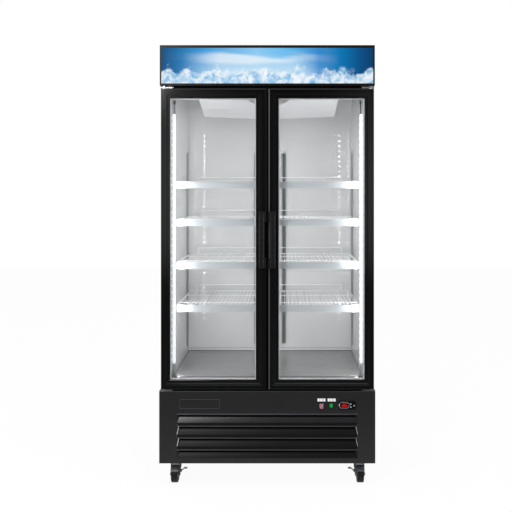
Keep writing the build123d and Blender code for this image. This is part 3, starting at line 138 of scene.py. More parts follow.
def remap(tree: Tree, value: Socket, source: tuple = (0.0, 1.0), target: tuple = (0.0, 1.0),
          smooth: bool = False) -> Socket:
    """Adds a node that carries a value from one range to another and holds it there.

    Args:
        tree: Tree that gets the node.
        value: The value.
        source: Its range, which may run downwards.
        target: Range of the result, as numbers or sockets.
        smooth: Whether the result eases in and out.

    Returns:
        The result.
    """
    inputs = {"Value": value, "From Min": source[0], "From Max": source[1],
              "To Min": target[0], "To Max": target[1]}
    kind = "SMOOTHSTEP" if smooth else "LINEAR"
    return add(tree, "ShaderNodeMapRange", inputs, interpolation_type=kind).outputs[0]


def reckon(tree: Tree, operation: str, *numbers: Socket | float) -> Socket:
    """Adds a node that works out one number from others, and gives it back."""
    return add(tree, "ShaderNodeMath", dict(enumerate(numbers)), operation=operation).outputs[0]


def blend(tree: Tree, share: Socket, first: Socket | tuple, second: Socket | tuple) -> Socket:
    """Adds a node that mixes two colours, the first at share 0 and the second at share 1."""
    return add(tree, "ShaderNodeMix", {0: share, 6: first, 7: second}, data_type="RGBA").outputs[2]


def noise(tree: Tree, place: Socket, scale: float, detail: float, roughness: float = 0.5,
          distortion: float = 0.0) -> Socket:
    """Adds fractal noise and gives its value back, from about 0.2 to 0.8."""
    inputs = {"Vector": place, "Scale": scale, "Detail": detail, "Roughness": roughness,
              "Distortion": distortion}
    return add(tree, "ShaderNodeTexNoise", inputs).outputs["Fac"]


# Finishes

@dataclass(frozen=True)
class Finish:
    """A surface of one material made one way, with the plain values of its shader."""

    name: str
    colour: str
    shade: str = "#000000"
    roughness: float = 0.5
    metallic: float = 0.0
    ior: float = 1.5
    specular: float = 0.5
    coat: float = 0.0
    coat_roughness: float = 0.1
    coat_ior: float = 1.5
    glow: str = "#000000"
    glow_strength: float = 0.0

    def material(self) -> bpy.types.Material:
        """Makes the material once and gives it back each time after that."""
        found = bpy.data.materials.get(self.name)
        if found is not None:
            return found
        material = bpy.data.materials.new(self.name)
        tree = emptied(material)
        place = add(tree, "ShaderNodeTexCoord").outputs["Object"]
        shader = self.surface(tree, place)
        add(tree, "ShaderNodeOutputMaterial", {"Surface": shader})
        return material

    def surface(self, tree: Tree, place: Socket) -> Socket:
        """Builds the shader that the eye sees.

        Args:
            tree: Tree of the material.
            place: Object coordinates.

        Returns:
            Output socket of the shader.
        """
        values = {
            "Base Color": linear(self.colour),
            "Roughness": self.roughness,
            "Metallic": self.metallic,
            "Specular IOR Level": self.specular,
            "Coat Weight": self.coat,
            "Coat Roughness": self.coat_roughness,
            "Coat IOR": self.coat_ior,
            "Emission Color": linear(self.glow),
            "Emission Strength": self.glow_strength,
        }
        if self.metallic < 1:
            values["IOR"] = self.ior
        values.update(self.pattern(tree, place))
        return add(tree, "ShaderNodeBsdfPrincipled", values).outputs["BSDF"]

    def pattern(self, tree: Tree, place: Socket) -> dict:
        """Gives the inputs of the shader that vary over the surface, by name."""
        return {}

    def grained(self, tree: Tree, weight: Socket, grain: Socket, spread: float, strength: float,
                depth: float) -> dict:
        """Varies tone by one field, and gloss and height by another.

        Args:
            tree: Tree of the material.
            weight: Share of the shade in the tone.
            grain: Field that gloss and height follow.
            spread: Share by which the roughness varies up and down.
            strength: Strength of the bump.
            depth: Height of the grain.

        Returns:
            Inputs of the shader, by name.
        """
        gloss = remap(tree, grain, (0.3, 0.7), (self.roughness * (1 - spread), self.roughness * (1 + spread)))
        bump = add(tree, "ShaderNodeBump", {"Height": grain, "Strength": strength, "Distance": depth})
        return {"Base Color": blend(tree, weight, linear(self.colour), linear(self.shade)),
                "Roughness": gloss, "Normal": bump.outputs[0]}


@dataclass(frozen=True)
class Coated(Finish):
    """Sprayed or powdered coat on sheet: a faint pebble in the gloss and a slight drift in tone."""

    pebble: float = 2.5 * MM
    pebble_depth: float = 0.03 * MM
    drift: float = 0.25
    drift_size: float = 240 * MM

    def pattern(self, tree: Tree, place: Socket) -> dict:
        """Lets tone drift over a hand's width, and gloss and height over each pebble."""
        wide = noise(tree, place, 1 / self.drift_size, 2.0)
        fine = noise(tree, place, 1 / self.pebble, 3.0)
        weight = remap(tree, wide, (0.35, 0.65), (0.0, self.drift))
        return self.grained(tree, weight, fine, 0.15, 0.6, self.pebble_depth)


@dataclass(frozen=True)
class SideShadedCoat(Coated):
    """Coat that is lighter in front of a plane and darker behind it: painted shade on the sides."""

    plane: float = -346.5 * MM
    behind: str = "#060607"
    behind_specular: float = 0.1

    def pattern(self, tree: Tree, place: Socket) -> dict:
        """Darkens the coat and lowers its specular where Y lies behind the plane: painted shade."""
        inputs = super().pattern(tree, place)
        axes = add(tree, "ShaderNodeSeparateXYZ", {"Vector": place})
        share = remap(tree, axes.outputs["Y"], (self.plane - 0.5 * MM, self.plane))
        inputs["Base Color"] = blend(tree, share, inputs["Base Color"], linear(self.behind))
        inputs["Specular IOR Level"] = remap(tree, share, target=(self.specular, self.behind_specular))
        return inputs


@dataclass(frozen=True)
class Drawn(Finish):
    """Metal or plastic that went through a die or a brush: long fine lines along one axis."""

    line: float = 1.6 * MM
    line_length: float = 180 * MM
    along: Axis = Axis.Z
    contrast: float = 0.3
    line_depth: float = 0.02 * MM

    def pattern(self, tree: Tree, place: Socket) -> dict:
        """Stretches noise along the axis and reads tone, gloss and height from it."""
        scale = [1 / self.line] * 3
        scale[self.along.value] = 1 / self.line_length
        moved = add(tree, "ShaderNodeMapping", {"Vector": place, "Scale": scale}).outputs[0]
        lines = noise(tree, moved, 1.0, 4.0)
        weight = remap(tree, lines, (0.35, 0.7), (0.0, self.contrast))
        return self.grained(tree, weight, lines, 0.2, 0.4, self.line_depth)


@dataclass(frozen=True)
class Spangled(Finish):
    """Zinc dipped or plated on steel: crystals that each take the light a little differently."""

    crystal: float = 9 * MM
    gloss_spread: float = 0.2

    def pattern(self, tree: Tree, place: Socket) -> dict:
        """Gives each Voronoi cell its own tone and gloss."""
        cells = add(tree, "ShaderNodeTexVoronoi", {"Vector": place, "Scale": 1 / self.crystal})
        parts = add(tree, "ShaderNodeSeparateColor", {"Color": cells.outputs["Color"]})
        gloss = (self.roughness - self.gloss_spread / 2, self.roughness + self.gloss_spread / 2)
        return {"Base Color": blend(tree, parts.outputs[0], linear(self.colour), linear(self.shade)),
                "Roughness": remap(tree, parts.outputs[1], target=gloss)}


@dataclass(frozen=True)
class Backlit(Finish):
    """Printed picture on a translucent panel: open sky, thin long clouds high up, heaps below."""

    middle_height: float = 1.955
    picture_height: float = 0.165
    paper: str = "#060a0d"
    blues: tuple = ((0.0, "#0a4a78"), (0.07, "#0f6ba6"), (0.2, "#3c9ad8"), (0.45, "#8ccbf3"),
                    (0.6, "#5cb8ee"), (0.74, "#0a84cc"), (0.84, "#0176b4"), (0.93, "#01518a"),
                    (1.0, "#013a66"))
    haze_shares: tuple = ((0.0, "#000000"), (0.1, "#383838"), (0.28, "#f0f0f0"), (0.62, "#ffffff"),
                          (0.74, "#707070"), (0.84, "#000000"))
    folds: tuple = ((0.34, "#6fb4e2"), (0.46, "#b9d9f1"), (0.56, "#e9f3fb"), (0.66, "#fbfdff"))

    def pattern(self, tree: Tree, place: Socket) -> dict:
        """Lays haze, streaks and heaps of noise over a blue that deepens to both ends, with the
        picture's height as the unit."""
        unit = 1 / self.picture_height
        sheet = add(tree, "ShaderNodeMapping", {"Vector": place, "Scale": (unit, 0.0, unit),
                                                "Location": (0.0, 0.0, -self.middle_height * unit)})
        sheet = sheet.outputs[0]
        axes = add(tree, "ShaderNodeSeparateXYZ", {"Vector": sheet})
        up = axes.outputs["Z"]
        share = remap(tree, axes.outputs["X"], (-3.0, 3.0))
        blue = add(tree, "ShaderNodeValToRGB", {"Fac": share}, stops=self.blues).outputs[0]
        middle = add(tree, "ShaderNodeValToRGB", {"Fac": share}, stops=self.haze_shares).outputs[0]
        low = remap(tree, up, (0.46, -0.2), (0.0, 0.85), smooth=True)
        hazy = blend(tree, reckon(tree, "MULTIPLY", low, middle), blue, linear("#c9e6f8"))
        flat = add(tree, "ShaderNodeMapping", {"Vector": sheet, "Scale": (0.34, 1.0, 2.6),
                                               "Location": (7.9, 0.0, 4.4)}).outputs[0]
        wisps = noise(tree, flat, 1.1, 2.0, roughness=0.35, distortion=0.2)
        streak = remap(tree, wisps, (0.47, 0.72), (0.0, 0.8), smooth=True)
        veiled = blend(tree, reckon(tree, "MULTIPLY", streak, middle), hazy, linear("#eef7fd"))
        lumps = noise(tree, sheet, 1.7, 7.0, roughness=0.55)
        rise = reckon(tree, "SUBTRACT", lumps, reckon(tree, "MULTIPLY_ADD", up, 0.75, 0.07))
        heap = remap(tree, rise, (0.5, 0.63), (0.0, 0.95), smooth=True)
        creases = noise(tree, sheet, 4.2, 6.0, roughness=0.6, distortion=0.6)
        puff = add(tree, "ShaderNodeValToRGB", {"Fac": creases}, stops=self.folds).outputs[0]
        return {"Base Color": linear(self.paper), "Emission Color": blend(tree, heap, veiled, puff)}


@dataclass(frozen=True)
class PaneGlass(Finish):
    """Float glass: clear from in front, with the reflections that its angle gives."""

    def surface(self, tree: Tree, place: Socket) -> Socket:
        """Mixes a clear shader with a mirror, whose share rises from its least value, seen square
        on, by the fifth power of one less the cosine of the angle, alike on both faces of a pane."""
        clear = add(tree, "ShaderNodeBsdfTransparent", {"Color": linear(self.colour)})
        mirror = add(tree, "ShaderNodeBsdfGlossy", {"Color": linear("#ffffff"), "Roughness": self.roughness})
        tilt = add(tree, "ShaderNodeLayerWeight", {"Blend": 0.5})
        steep = reckon(tree, "POWER", tilt.outputs["Facing"], 5.0)
        least = ((self.ior - 1) / (self.ior + 1)) ** 2
        share = remap(tree, steep, target=(least, 1.0))
        return add(tree, "ShaderNodeMixShader", {0: share, 1: clear.outputs[0],
                                                 2: mirror.outputs[0]}).outputs[0]


# Black polyester powder coat, baked: satin with a fine pebble
BLACK_SHEET = Coated("black_powder_coat", "#1b1b1d", roughness=0.36, specular=0.42, shade="#161617")
# The same coat, darker: painted shade on the pressed bands, the lower three blades, the face frame and the
# mullion
SHADED_BLACK = Coated("black_coat_painted_shade", "#0c0c0e", roughness=0.34, specular=0.2, shade="#09090a")
# Rolled lips, lighter grey than the sheet: painted highlight along their bend
LIP_HIGHLIGHT = Coated("grey_lip_painted_highlight", "#34363b", roughness=0.3, specular=0.6, shade="#2c2e33")
# The uppermost blade, wiped to a satin gloss: mirrors the key lamp at its left end
WIPED_BLADE = Coated("wiped_black_coat", "#1b1b1d", roughness=0.24, specular=0.55, shade="#161617")
# Folds at the ends of the louvres in pale steel: painted highlight on their bent edges
END_HIGHLIGHT = Drawn("pale_end_painted_highlight", "#c9c9cf", roughness=0.35, metallic=0.3, shade="#a6a6ad",
                    line=3 * MM, line_length=12 * MM)
# Black strip behind the slots: painted shade where the machine space behind them lies in shadow
SLOT_SHADE = Coated("black_slot_painted_shade", "#050506", roughness=0.95, specular=0.1, shade="#030303",
                   pebble=1.5 * MM)
# The header's own coat is a shade browner and a little glossier
HEADER_SHEET = Coated("header_powder_coat", "#120f0b", roughness=0.28, specular=0.2, shade="#0d0b08")
# Hot-dip galvanised steel: soft crystals in a dull grey, drawn coarser than the real 8 mm to be seen
GALVANISED = Spangled("galvanised_steel", "#b3b7b9", roughness=0.5, metallic=0.7, crystal=16 * MM,
                      shade="#a8acaf", gloss_spread=0.1)
# White polyester enamel on the lining: smooth enough to mirror points of light
LINER = Coated("white_liner_enamel", "#e4e5e6", roughness=0.5, coat=1.0, coat_roughness=0.015,
               coat_ior=1.7, pebble=60 * MM, pebble_depth=0.015 * MM, shade="#dbdcde", drift=0.5)
# The same enamel on the evaporator's cover, with less mirror in it
COVER = Coated("white_cover_enamel", "#e5e6e8", roughness=0.45, coat=0.3, coat_roughness=0.2,
               shade="#dbdddf", pebble=8 * MM)
# Brushed stainless deck: mid grey, mirrors lights in long soft streaks
DECK = Drawn("brushed_stainless_deck", "#a4a4a4", roughness=0.3, metallic=0.7, along=Axis.X,
             shade="#909192", line=1.2 * MM, line_length=600 * MM, contrast=0.15)
# Grey silicone bead where the deck meets the lining
SEALANT = Coated("grey_silicone_bead", "#737577", roughness=0.4, shade="#646668")
# Bright zinc plate on hinge brackets, clips and screws
ZINC = Spangled("bright_zinc_plate", "#d3d6d8", roughness=0.3, metallic=1.0, crystal=5 * MM,
                shade="#b6babd", gloss_spread=0.14)
# Pilasters: roll-formed galvanised strip, greyer than the wall behind
POST = Drawn("galvanised_pilaster_strip", "#939696", roughness=0.4, metallic=0.25, shade="#828585",
             line=2 * MM)
# Black strip down the middle of the pilasters, a dark dot in each slot: painted shade in the hollow behind
# the slots
PILASTER_SHADE = Coated("black_pilaster_painted_shade", "#19191b", roughness=0.8, shade="#121214", pebble=1.5 * MM)
# White epoxy dipped on wire: smooth, with a soft gloss
WIRE = Coated("white_epoxy_wire", "#f6f7f7", roughness=0.32, coat=0.4, shade="#ebeded", pebble=6 * MM)
# Extruded white PVC price rail: cool white with fine die lines
RAIL = Drawn("white_extruded_rail", "#d0d6da", roughness=0.25, along=Axis.X, shade="#c2c9cf",
             line=4 * MM, line_length=600 * MM, coat=0.4)
# White PVC profile that covers the foam's edge between the lining and the face
BREAKER = Drawn("white_pvc_breaker_strip", "#e9ecee", roughness=0.3, shade="#dde0e3", line=3 * MM,
                coat=0.5)
# Extruded aluminium channel, clear anodised: a pale metal line on the wall
CHANNEL = Drawn("clear_anodised_channel", "#dfe1e4", roughness=0.35, metallic=0.5, shade="#c8ccd0")
# White solder mask of the light board, flooded by its own beads
BOARD = Coated("white_light_board", "#f6f7f8", roughness=0.4, glow="#ffffff", glow_strength=1.1,
               pebble=3 * MM, shade="#e9edf0")
# Milky polycarbonate cover of the light strip, lit from within: an even white glow
MILKY = Coated("milky_polycarbonate_cover", "#f4f6f8", roughness=0.3, glow="#fafcff", glow_strength=0.7,
               pebble=4 * MM, shade="#eaeef2")
# Silicone lens over a light bead, lit: a point brighter than the cover round it; the same glow makes the
# painted glints on the breaker strips
LENS_AND_GLINT = Finish("lit_lens_and_painted_glint", "#ffffff", roughness=0.15, glow="#fbfdff", glow_strength=0.9)
# Fins rolled from bare aluminium: fine upright lines in a soft shine
FIN = Drawn("rolled_fin_aluminium", "#c9cccf", roughness=0.38, metallic=1.0, shade="#a9adb1")
# Condenser fins: the same, in black: painted shade, so that the slots in front of them read dark
DARK_FIN = Drawn("black_fin_painted_shade", "#0d0d0e", roughness=0.5, specular=0.3, shade="#131315")
# Motor shells: die-cast, shot-blasted, clear coated
CAST = Coated("blasted_cast_aluminium", "#8c8e8f", roughness=0.55, metallic=0.8, shade="#777a7c",
              pebble=2 * MM, pebble_depth=0.08 * MM)
# Black glass-filled nylon fan blades: matt with a fine mould texture
FAN = Coated("black_nylon_fan", "#26272a", roughness=0.5, shade="#1b1c1e", pebble=1.5 * MM)
# Inside the room the fan is moulded in a pale polypropylene
PALE_FAN = Coated("pale_polypropylene_fan", "#c9cbcc", roughness=0.45, shade="#b8babc", pebble=1.5 * MM)
# Header lamp: opal glass tube, evenly lit
TUBE = Coated("opal_lamp_tube", "#f2f2f2", roughness=0.2, glow="#ffffff", glow_strength=1.2,
              shade="#e6e6e6", pebble=5 * MM)
# Header panel: inks on translucent sheet, whose colours glow from behind
PICTURE = Backlit("printed_sky_panel", "#4fabe4", roughness=0.4, specular=0.05, glow_strength=0.97)
# Hermetic compressor shell and brake brackets: stoved black enamel with a wet gloss; on the brackets the
# black is partly painted shade of the inner fork legs
ENAMEL = Coated("stoved_black_enamel", "#17181a", roughness=0.28, shade="#101112", coat=0.5)
# Drawn copper, slightly dulled by handling
COPPER = Drawn("drawn_copper", "#c7764f", roughness=0.32, metallic=1.0, shade="#8f4d33", contrast=0.6,
               line=14 * MM, line_length=30 * MM)
# Black ABS: controls' bezels and cases, spark-eroded matt
BLACK_ABS = Coated("black_abs", "#111113", roughness=0.42, shade="#0c0c0e", pebble=1.2 * MM)
# Black PVC of leads and glands: dull
BLACK_PVC = Coated("black_pvc", "#1c1c1e", roughness=0.5, shade="#141415")
# Neon-lit rocker caps, moulded in clear red and green polycarbonate
RED_CAP = Coated("red_polycarbonate", "#c495a6", roughness=0.18, glow="#b8506a", glow_strength=0.05,
                 shade="#5a0c28", drift=1.0, drift_size=5 * MM)
GREEN_CAP = Coated("green_polycarbonate", "#0a7a33", roughness=0.18, glow="#12c04a", glow_strength=0.35,
                   shade="#02401a", drift=1.0, drift_size=6 * MM)
# Pale silicone keys of the thermostat, and a pale dome at the window rim's left end: a painted glint on the
# rim
KEY_AND_GLINT = Coated("pale_key_and_painted_glint", "#c9cbce", roughness=0.45, shade="#b2b5b9", pebble=1 * MM)
# White polyester label stock, matt, and the grey ink on it
LABEL = Coated("white_label_stock", "#e6e8ea", roughness=0.5, shade="#d4d7da", pebble=1.5 * MM)
MARK = Coated("grey_label_ink", "#6c7078", roughness=0.6, shade="#585c63")
# Door members: aluminium, anodised glossy black, with die lines along the stiles
ANODISED = Drawn("black_anodised_aluminium", "#050506", roughness=0.12, specular=0.5,
                 shade="#0a0a0b", line=2.2 * MM, line_length=400 * MM, contrast=0.5,
                 line_depth=0.002 * MM)
# The same with its die lines along the rails
ANODISED_RAIL = replace(ANODISED, name="black_anodised_rail", along=Axis.X)
# Rim of the nameplate, and a satin grey strip on the right door's latch edge: painted highlight where the
# lamp from the left catches that edge
RIM_AND_EDGE_HIGHLIGHT = Drawn("satin_rim_and_edge_highlight", "#414145", roughness=0.35, shade="#2b2b2d", line=2 * MM)
# Handles: black ABS with a soft sheen on the face; their sides, darker, carry painted shade
GRIP = SideShadedCoat("black_handle_abs", "#101012", roughness=0.3, specular=0.32, shade="#0b0b0c")
# Ribs in the recess of the handle's face in grey, and the paler stops that stand on them: their light tones
# are painted highlight along the handle's edges
RIB_HIGHLIGHT = Coated("grey_rib_painted_highlight", "#2a2b2d", roughness=0.4, shade="#222325")
STOP_HIGHLIGHT = Coated("pale_stop_painted_highlight", "#4c4f51", roughness=0.5, shade="#404345")
# Clear tempered float glass: seen only by what it mirrors
GLASS = PaneGlass("clear_float_glass", "#fefefe", roughness=0.0, ior=1.5)
# Folded aluminium spacer between the panes: a pale line round each glass
SPACER = Drawn("folded_spacer_aluminium", "#e4e6e9", roughness=0.25, metallic=0.25, shade="#d2d5da")
# Flexible black PVC gasket: dull, with no mirror in it
GASKET = Coated("black_flexible_pvc", "#18181a", roughness=0.55, shade="#101011", specular=0.3)
# Caster tyre: moulded black polyurethane, dull
TYRE = Coated("black_polyurethane_tyre", "#0f0f10", roughness=0.5, specular=0.3, shade="#0a0a0b",
              pebble=2 * MM, pebble_depth=0.08 * MM)
# Wheel centre: grey polypropylene, a ring paler than the tyre
HUB = Coated("grey_polypropylene_hub", "#5b5d60", roughness=0.45, shade="#4b4d50")
# Swivel forks, hoods and plates: zinc plate in a dark grey so that they stand out from a floor; on the plates
# under the cabinet the dark grey is painted shade
DARK_ZINC_AND_SHADE = Spangled("dark_zinc_and_painted_shade", "#7d8086", roughness=0.45, metallic=0.6, crystal=5 * MM,
                     shade="#6c6f75", gloss_spread=0.1)
# Brake pedals: zinc plate with a greenish passivated tone
PEDAL = Spangled("passivated_pedal_steel", "#9aa09a", roughness=0.38, metallic=1.0, crystal=6 * MM,
                 shade="#7f8680")
# Rigid polyurethane foam: cream, with closed cells
FOAM = Coated("cream_polyurethane_foam", "#e6d9a8", roughness=0.9, shade="#d3c48d", pebble=3 * MM,
              pebble_depth=0.4 * MM)
# Display window: dark red-tinted acrylic, and the lit segments on it
WINDOW = Coated("dark_red_acrylic", "#060202", roughness=0.2, specular=0.2, shade="#040101",
                pebble=20 * MM)
SEGMENT = Coated("lit_red_segment", "#a00400", roughness=0.6, specular=0.1, glow="#ff0600",
                 glow_strength=1.0, shade="#8a0300", pebble=2 * MM)
# Trim round the window: vacuum-metallised plastic
TRIM = Drawn("metallised_trim", "#a4abb8", roughness=0.35, metallic=0.4, along=Axis.X,
             shade="#8e95a3", line=1.5 * MM, line_length=20 * MM)
# Case of the thermostat: gloss black ABS, darker than the sheet round it
CASE_ABS = Coated("gloss_black_abs", "#060607", roughness=0.25, specular=0.3, shade="#040405",
                  pebble=1.2 * MM)


# Shapes

@dataclass(frozen=True)
class Shape:
    """A surface as arrays: points, and faces in one array for each number of corners."""

    points: np.ndarray
    faces: tuple[np.ndarray, ...]

    def __add__(self, other: "Shape") -> "Shape":
        """Both shapes as one, with the second's faces counted on from the first's points."""
        shift = len(self.points)
        moved = tuple(block + shift for block in other.faces)
        return Shape(np.vstack([self.points, other.points]), self.faces + moved)

    def at(self, *places: tuple[float, float, float]) -> "Shape":
        """Copies the shape to each place.

        Args:
            places: Offsets of the copies.

        Returns:
            One shape that holds them all.
        """
        offsets = np.array(places, float)
        steps = len(self.points) * np.arange(len(offsets))
        points = (offsets[:, None] + self.points[None]).reshape(-1, 3)
        faces = tuple((steps[:, None, None] + block[None]).reshape(-1, block.shape[1])
                      for block in self.faces)
        return Shape(points, faces)

    def turned(self, turn: np.ndarray, centre: tuple[float, float, float] = (0, 0, 0)) -> "Shape":
        """Turns every point p to centre + turn (p - centre)."""
        middle = np.array(centre, float)
        return Shape((self.points - middle) @ np.array(turn, float).T + middle, self.faces)

    def mirrored(self) -> "Shape":
        """Mirrors the shape in the plane x = 0 and turns its faces round again."""
        return Shape(self.points * (-1, 1, 1), tuple(block[:, ::-1] for block in self.faces))


def skin(points: np.ndarray, wrap_rows: bool = False, wrap_columns: bool = False,
         caps: bool = False) -> Shape:
    """Covers a grid of points: face (i, j) joins points (i, j), (i+1, j), (i+1, j+1), (i, j+1).

    Args:
        points: Array of rows by columns by 3.
        wrap_rows: Whether the last row joins the first.
        wrap_columns: Whether the last column joins the first.
        caps: Whether the first and the last row are each closed by one face.

    Returns:
        The shape.
    """
    rows, columns = points.shape[:2]
    row = np.arange(rows if wrap_rows else rows - 1)
    column = np.arange(columns if wrap_columns else columns - 1)
    i, j = np.meshgrid(row, column, indexing="ij")
    below, beside = (i + 1) % rows, (j + 1) % columns
    corners = [i * columns + j, below * columns + j, below * columns + beside, i * columns + beside]
    faces = [np.stack(corners, -1).reshape(-1, 4)]
    if caps:
        first = np.arange(columns)
        faces.append(np.stack([first[::-1], first + (rows - 1) * columns]))
    return Shape(points.reshape(-1, 3), tuple(faces))


def revolved(profile: np.ndarray, steps: int, closed: bool = True) -> Shape:
    """Turns a profile of (radius, height) round Z: (r cos a, r sin a, h) for each angle a.

    Args:
        profile: Array of radius and height.
        steps: Number of angles in the full turn.
        closed: Whether the profile's end joins its start; one that starts and ends on the axis stays open.

    Returns:
        The shape, about the origin.
    """
    angle = np.linspace(0, 2 * np.pi, steps, endpoint=False)[:, None]
    radius, height = profile[None, :, 0], profile[None, :, 1]
    points = np.stack([radius * np.cos(angle), radius * np.sin(angle), height + 0 * angle], -1)
    return skin(points, wrap_rows=True, wrap_columns=closed)


def rounded(width: float, height: float, radius: float, steps: int = 6) -> np.ndarray:
    """Outline of a rounded rectangle about the origin: a quarter circle in each corner.

    Args:
        width: Full width.
        height: Full height.
        radius: Corner radius.
        steps: Points on each quarter circle.

    Returns:
        Array of points by 2, anticlockwise.
    """
    angle = (np.arange(4)[:, None] + np.linspace(0, 1, steps)[None]) * np.pi / 2
    corner = np.array([(1, 1), (-1, 1), (-1, -1), (1, -1)], float)
    middle = corner * (width / 2 - radius, height / 2 - radius)
    ring = np.stack([np.cos(angle), np.sin(angle)], -1) * radius
    return (middle[:, None] + ring).reshape(-1, 2)


def plate(width: float, height: float, radius: float, steps: tuple[tuple[float, float], ...]) -> Shape:
    """Plate that faces -Y: a rounded rectangle drawn in by each step's inset, at each step's depth.

    Args:
        width: Full width along X.
        height: Full height along Z.
        radius: Corner radius.
        steps: Pairs of inset and depth along Y, from the back to the front.

    Returns:
        The closed shape, about the origin.
    """
    rows = [np.insert(rounded(width - 2 * inset, height - 2 * inset, max(radius - inset, 0.02 * MM)),
                      1, depth, axis=1) for inset, depth in steps]
    return skin(np.array(rows), wrap_columns=True, caps=True)


def bar(profile: np.ndarray, along: Axis, low: float, high: float) -> Shape:
    """Carries a closed profile straight along an axis and closes both ends.

    Args:
        profile: Array of the other two coordinates, in their own order.
        along: Axis of the bar.
        low: Coordinate of its first end.
        high: Coordinate of its last end.

    Returns:
        The closed shape.
    """
    rows = [np.insert(np.array(profile, float), along.value, end, axis=1) for end in (low, high)]
    return skin(np.array(rows), wrap_columns=True, caps=True)


def oblong(x0: float, x1: float, y0: float, y1: float) -> np.ndarray:
    """Corners of a rectangle between two values of each coordinate."""
    return np.array([(x0, y0), (x1, y0), (x1, y1), (x0, y1)])


def in_front(shape: Shape) -> Shape:
    """Turns a shape that stands along +Z so that it stands out to the front, along -Y."""
    return shape.turned(turn_to(Vector((0, -1, 0))))


def joined(shapes: list[Shape]) -> Shape:
    """All the shapes as one, in their order."""
    return functools.reduce(operator.add, shapes)


def turn_to(direction: Vector) -> np.ndarray:
    """Rotation that takes +Z to a direction."""
    return np.array(Vector((0, 0, 1)).rotation_difference(direction).to_matrix())


def make(name: str, shape: Shape, finish: Finish, body: str,
         stands_for: tuple[str, ...] = (), bevel: float = 0.0, smooth: float = 35.0) -> None:
    """Makes a piece from a shape and ties it to the frame.

    Args:
        name: Name of the piece.
        shape: Its surface, with its place in it.
        finish: Its finish.
        body: Body that it moves with.
        stands_for: Nodes that it replaces.
        bevel: Width of the rounded edges, or 0 for none.
        smooth: Edges that turn by more degrees than this stay sharp.
    """
    mesh = bpy.data.meshes.new(name)
    faces = [tuple(row) for block in shape.faces for row in block.tolist()]
    mesh.from_pydata(shape.points.tolist(), [], faces)
    work = bmesh.new()
    work.from_mesh(mesh)
    bmesh.ops.remove_doubles(work, verts=work.verts, dist=1e-6)
    bmesh.ops.recalc_face_normals(work, faces=work.faces)
    work.to_mesh(mesh)
    work.free()
    mesh.polygons.foreach_set("use_smooth", np.ones(len(mesh.polygons), bool))
    mesh.set_sharp_from_angle(angle=math.radians(smooth))
    mesh.materials.append(finish.material())
    piece = bpy.data.objects.new(name, mesh)
    bpy.context.scene.collection.objects.link(piece)
    if bevel:
        rounding = piece.modifiers.new("rounding", "BEVEL")
        rounding.width = bevel
        rounding.segments = 2
        rounding.limit_method = "ANGLE"
        rounding.angle_limit = math.radians(40)
        rounding.harden_normals = True
    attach(piece, body)
    if stands_for:
        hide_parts(*stands_for)
    log.info("%s: %d faces on %s", name, len(mesh.polygons), body)


def dress(finish: Finish, *nodes: str) -> None:
    """Gives CAD nodes a finish.

    Args:
        finish: The finish.
        nodes: Names of the nodes.
    """
    for name in nodes:
        slots = frame["nodes"][name].data.materials
        slots.clear()
        slots.append(finish.material())
        log.info("%s: %s", name, finish.name)


def corners_of(node: str) -> np.ndarray:
    """Places of the corners of a CAD node, one to a row."""
    return np.array([vertex.co for vertex in frame["nodes"][node].data.vertices])


def joint_axis(name: str) -> tuple[Vector, Vector]:
    """Point on a joint's axis and the axis's direction, at rest."""
    joint = next(row for row in frame["joints"] if row["name"] == name)
    return Vector(joint["pos_m"]), Vector(joint["axis"]).normalized()


def lamp(name: str, place: tuple[float, float, float], target: tuple[float, float, float],
         size: tuple[float, float], power: float, form: str = "RECTANGLE") -> bpy.types.Object:
    """Adds a flat lamp that the camera doesn't see.

    Args:
        name: Name of the lamp.
        place: Where its middle is.
        target: Point that it faces.
        size: Width and height.
        power: Power in watts.
        form: Outline of the lamp, as Blender names it.

    Returns:
        The lamp's object.
    """
    data = bpy.data.lights.new(name, "AREA")
    data.shape = form
    data.size, data.size_y = size
    data.energy = power
    light = bpy.data.objects.new(name, data)
    light.location = place
    light.rotation_mode = "QUATERNION"
    light.rotation_quaternion = (Vector(target) - Vector(place)).to_track_quat("-Z", "Y")
    light.visible_camera = False
    bpy.context.scene.collection.objects.link(light)
    return light


# Sub-assemblies

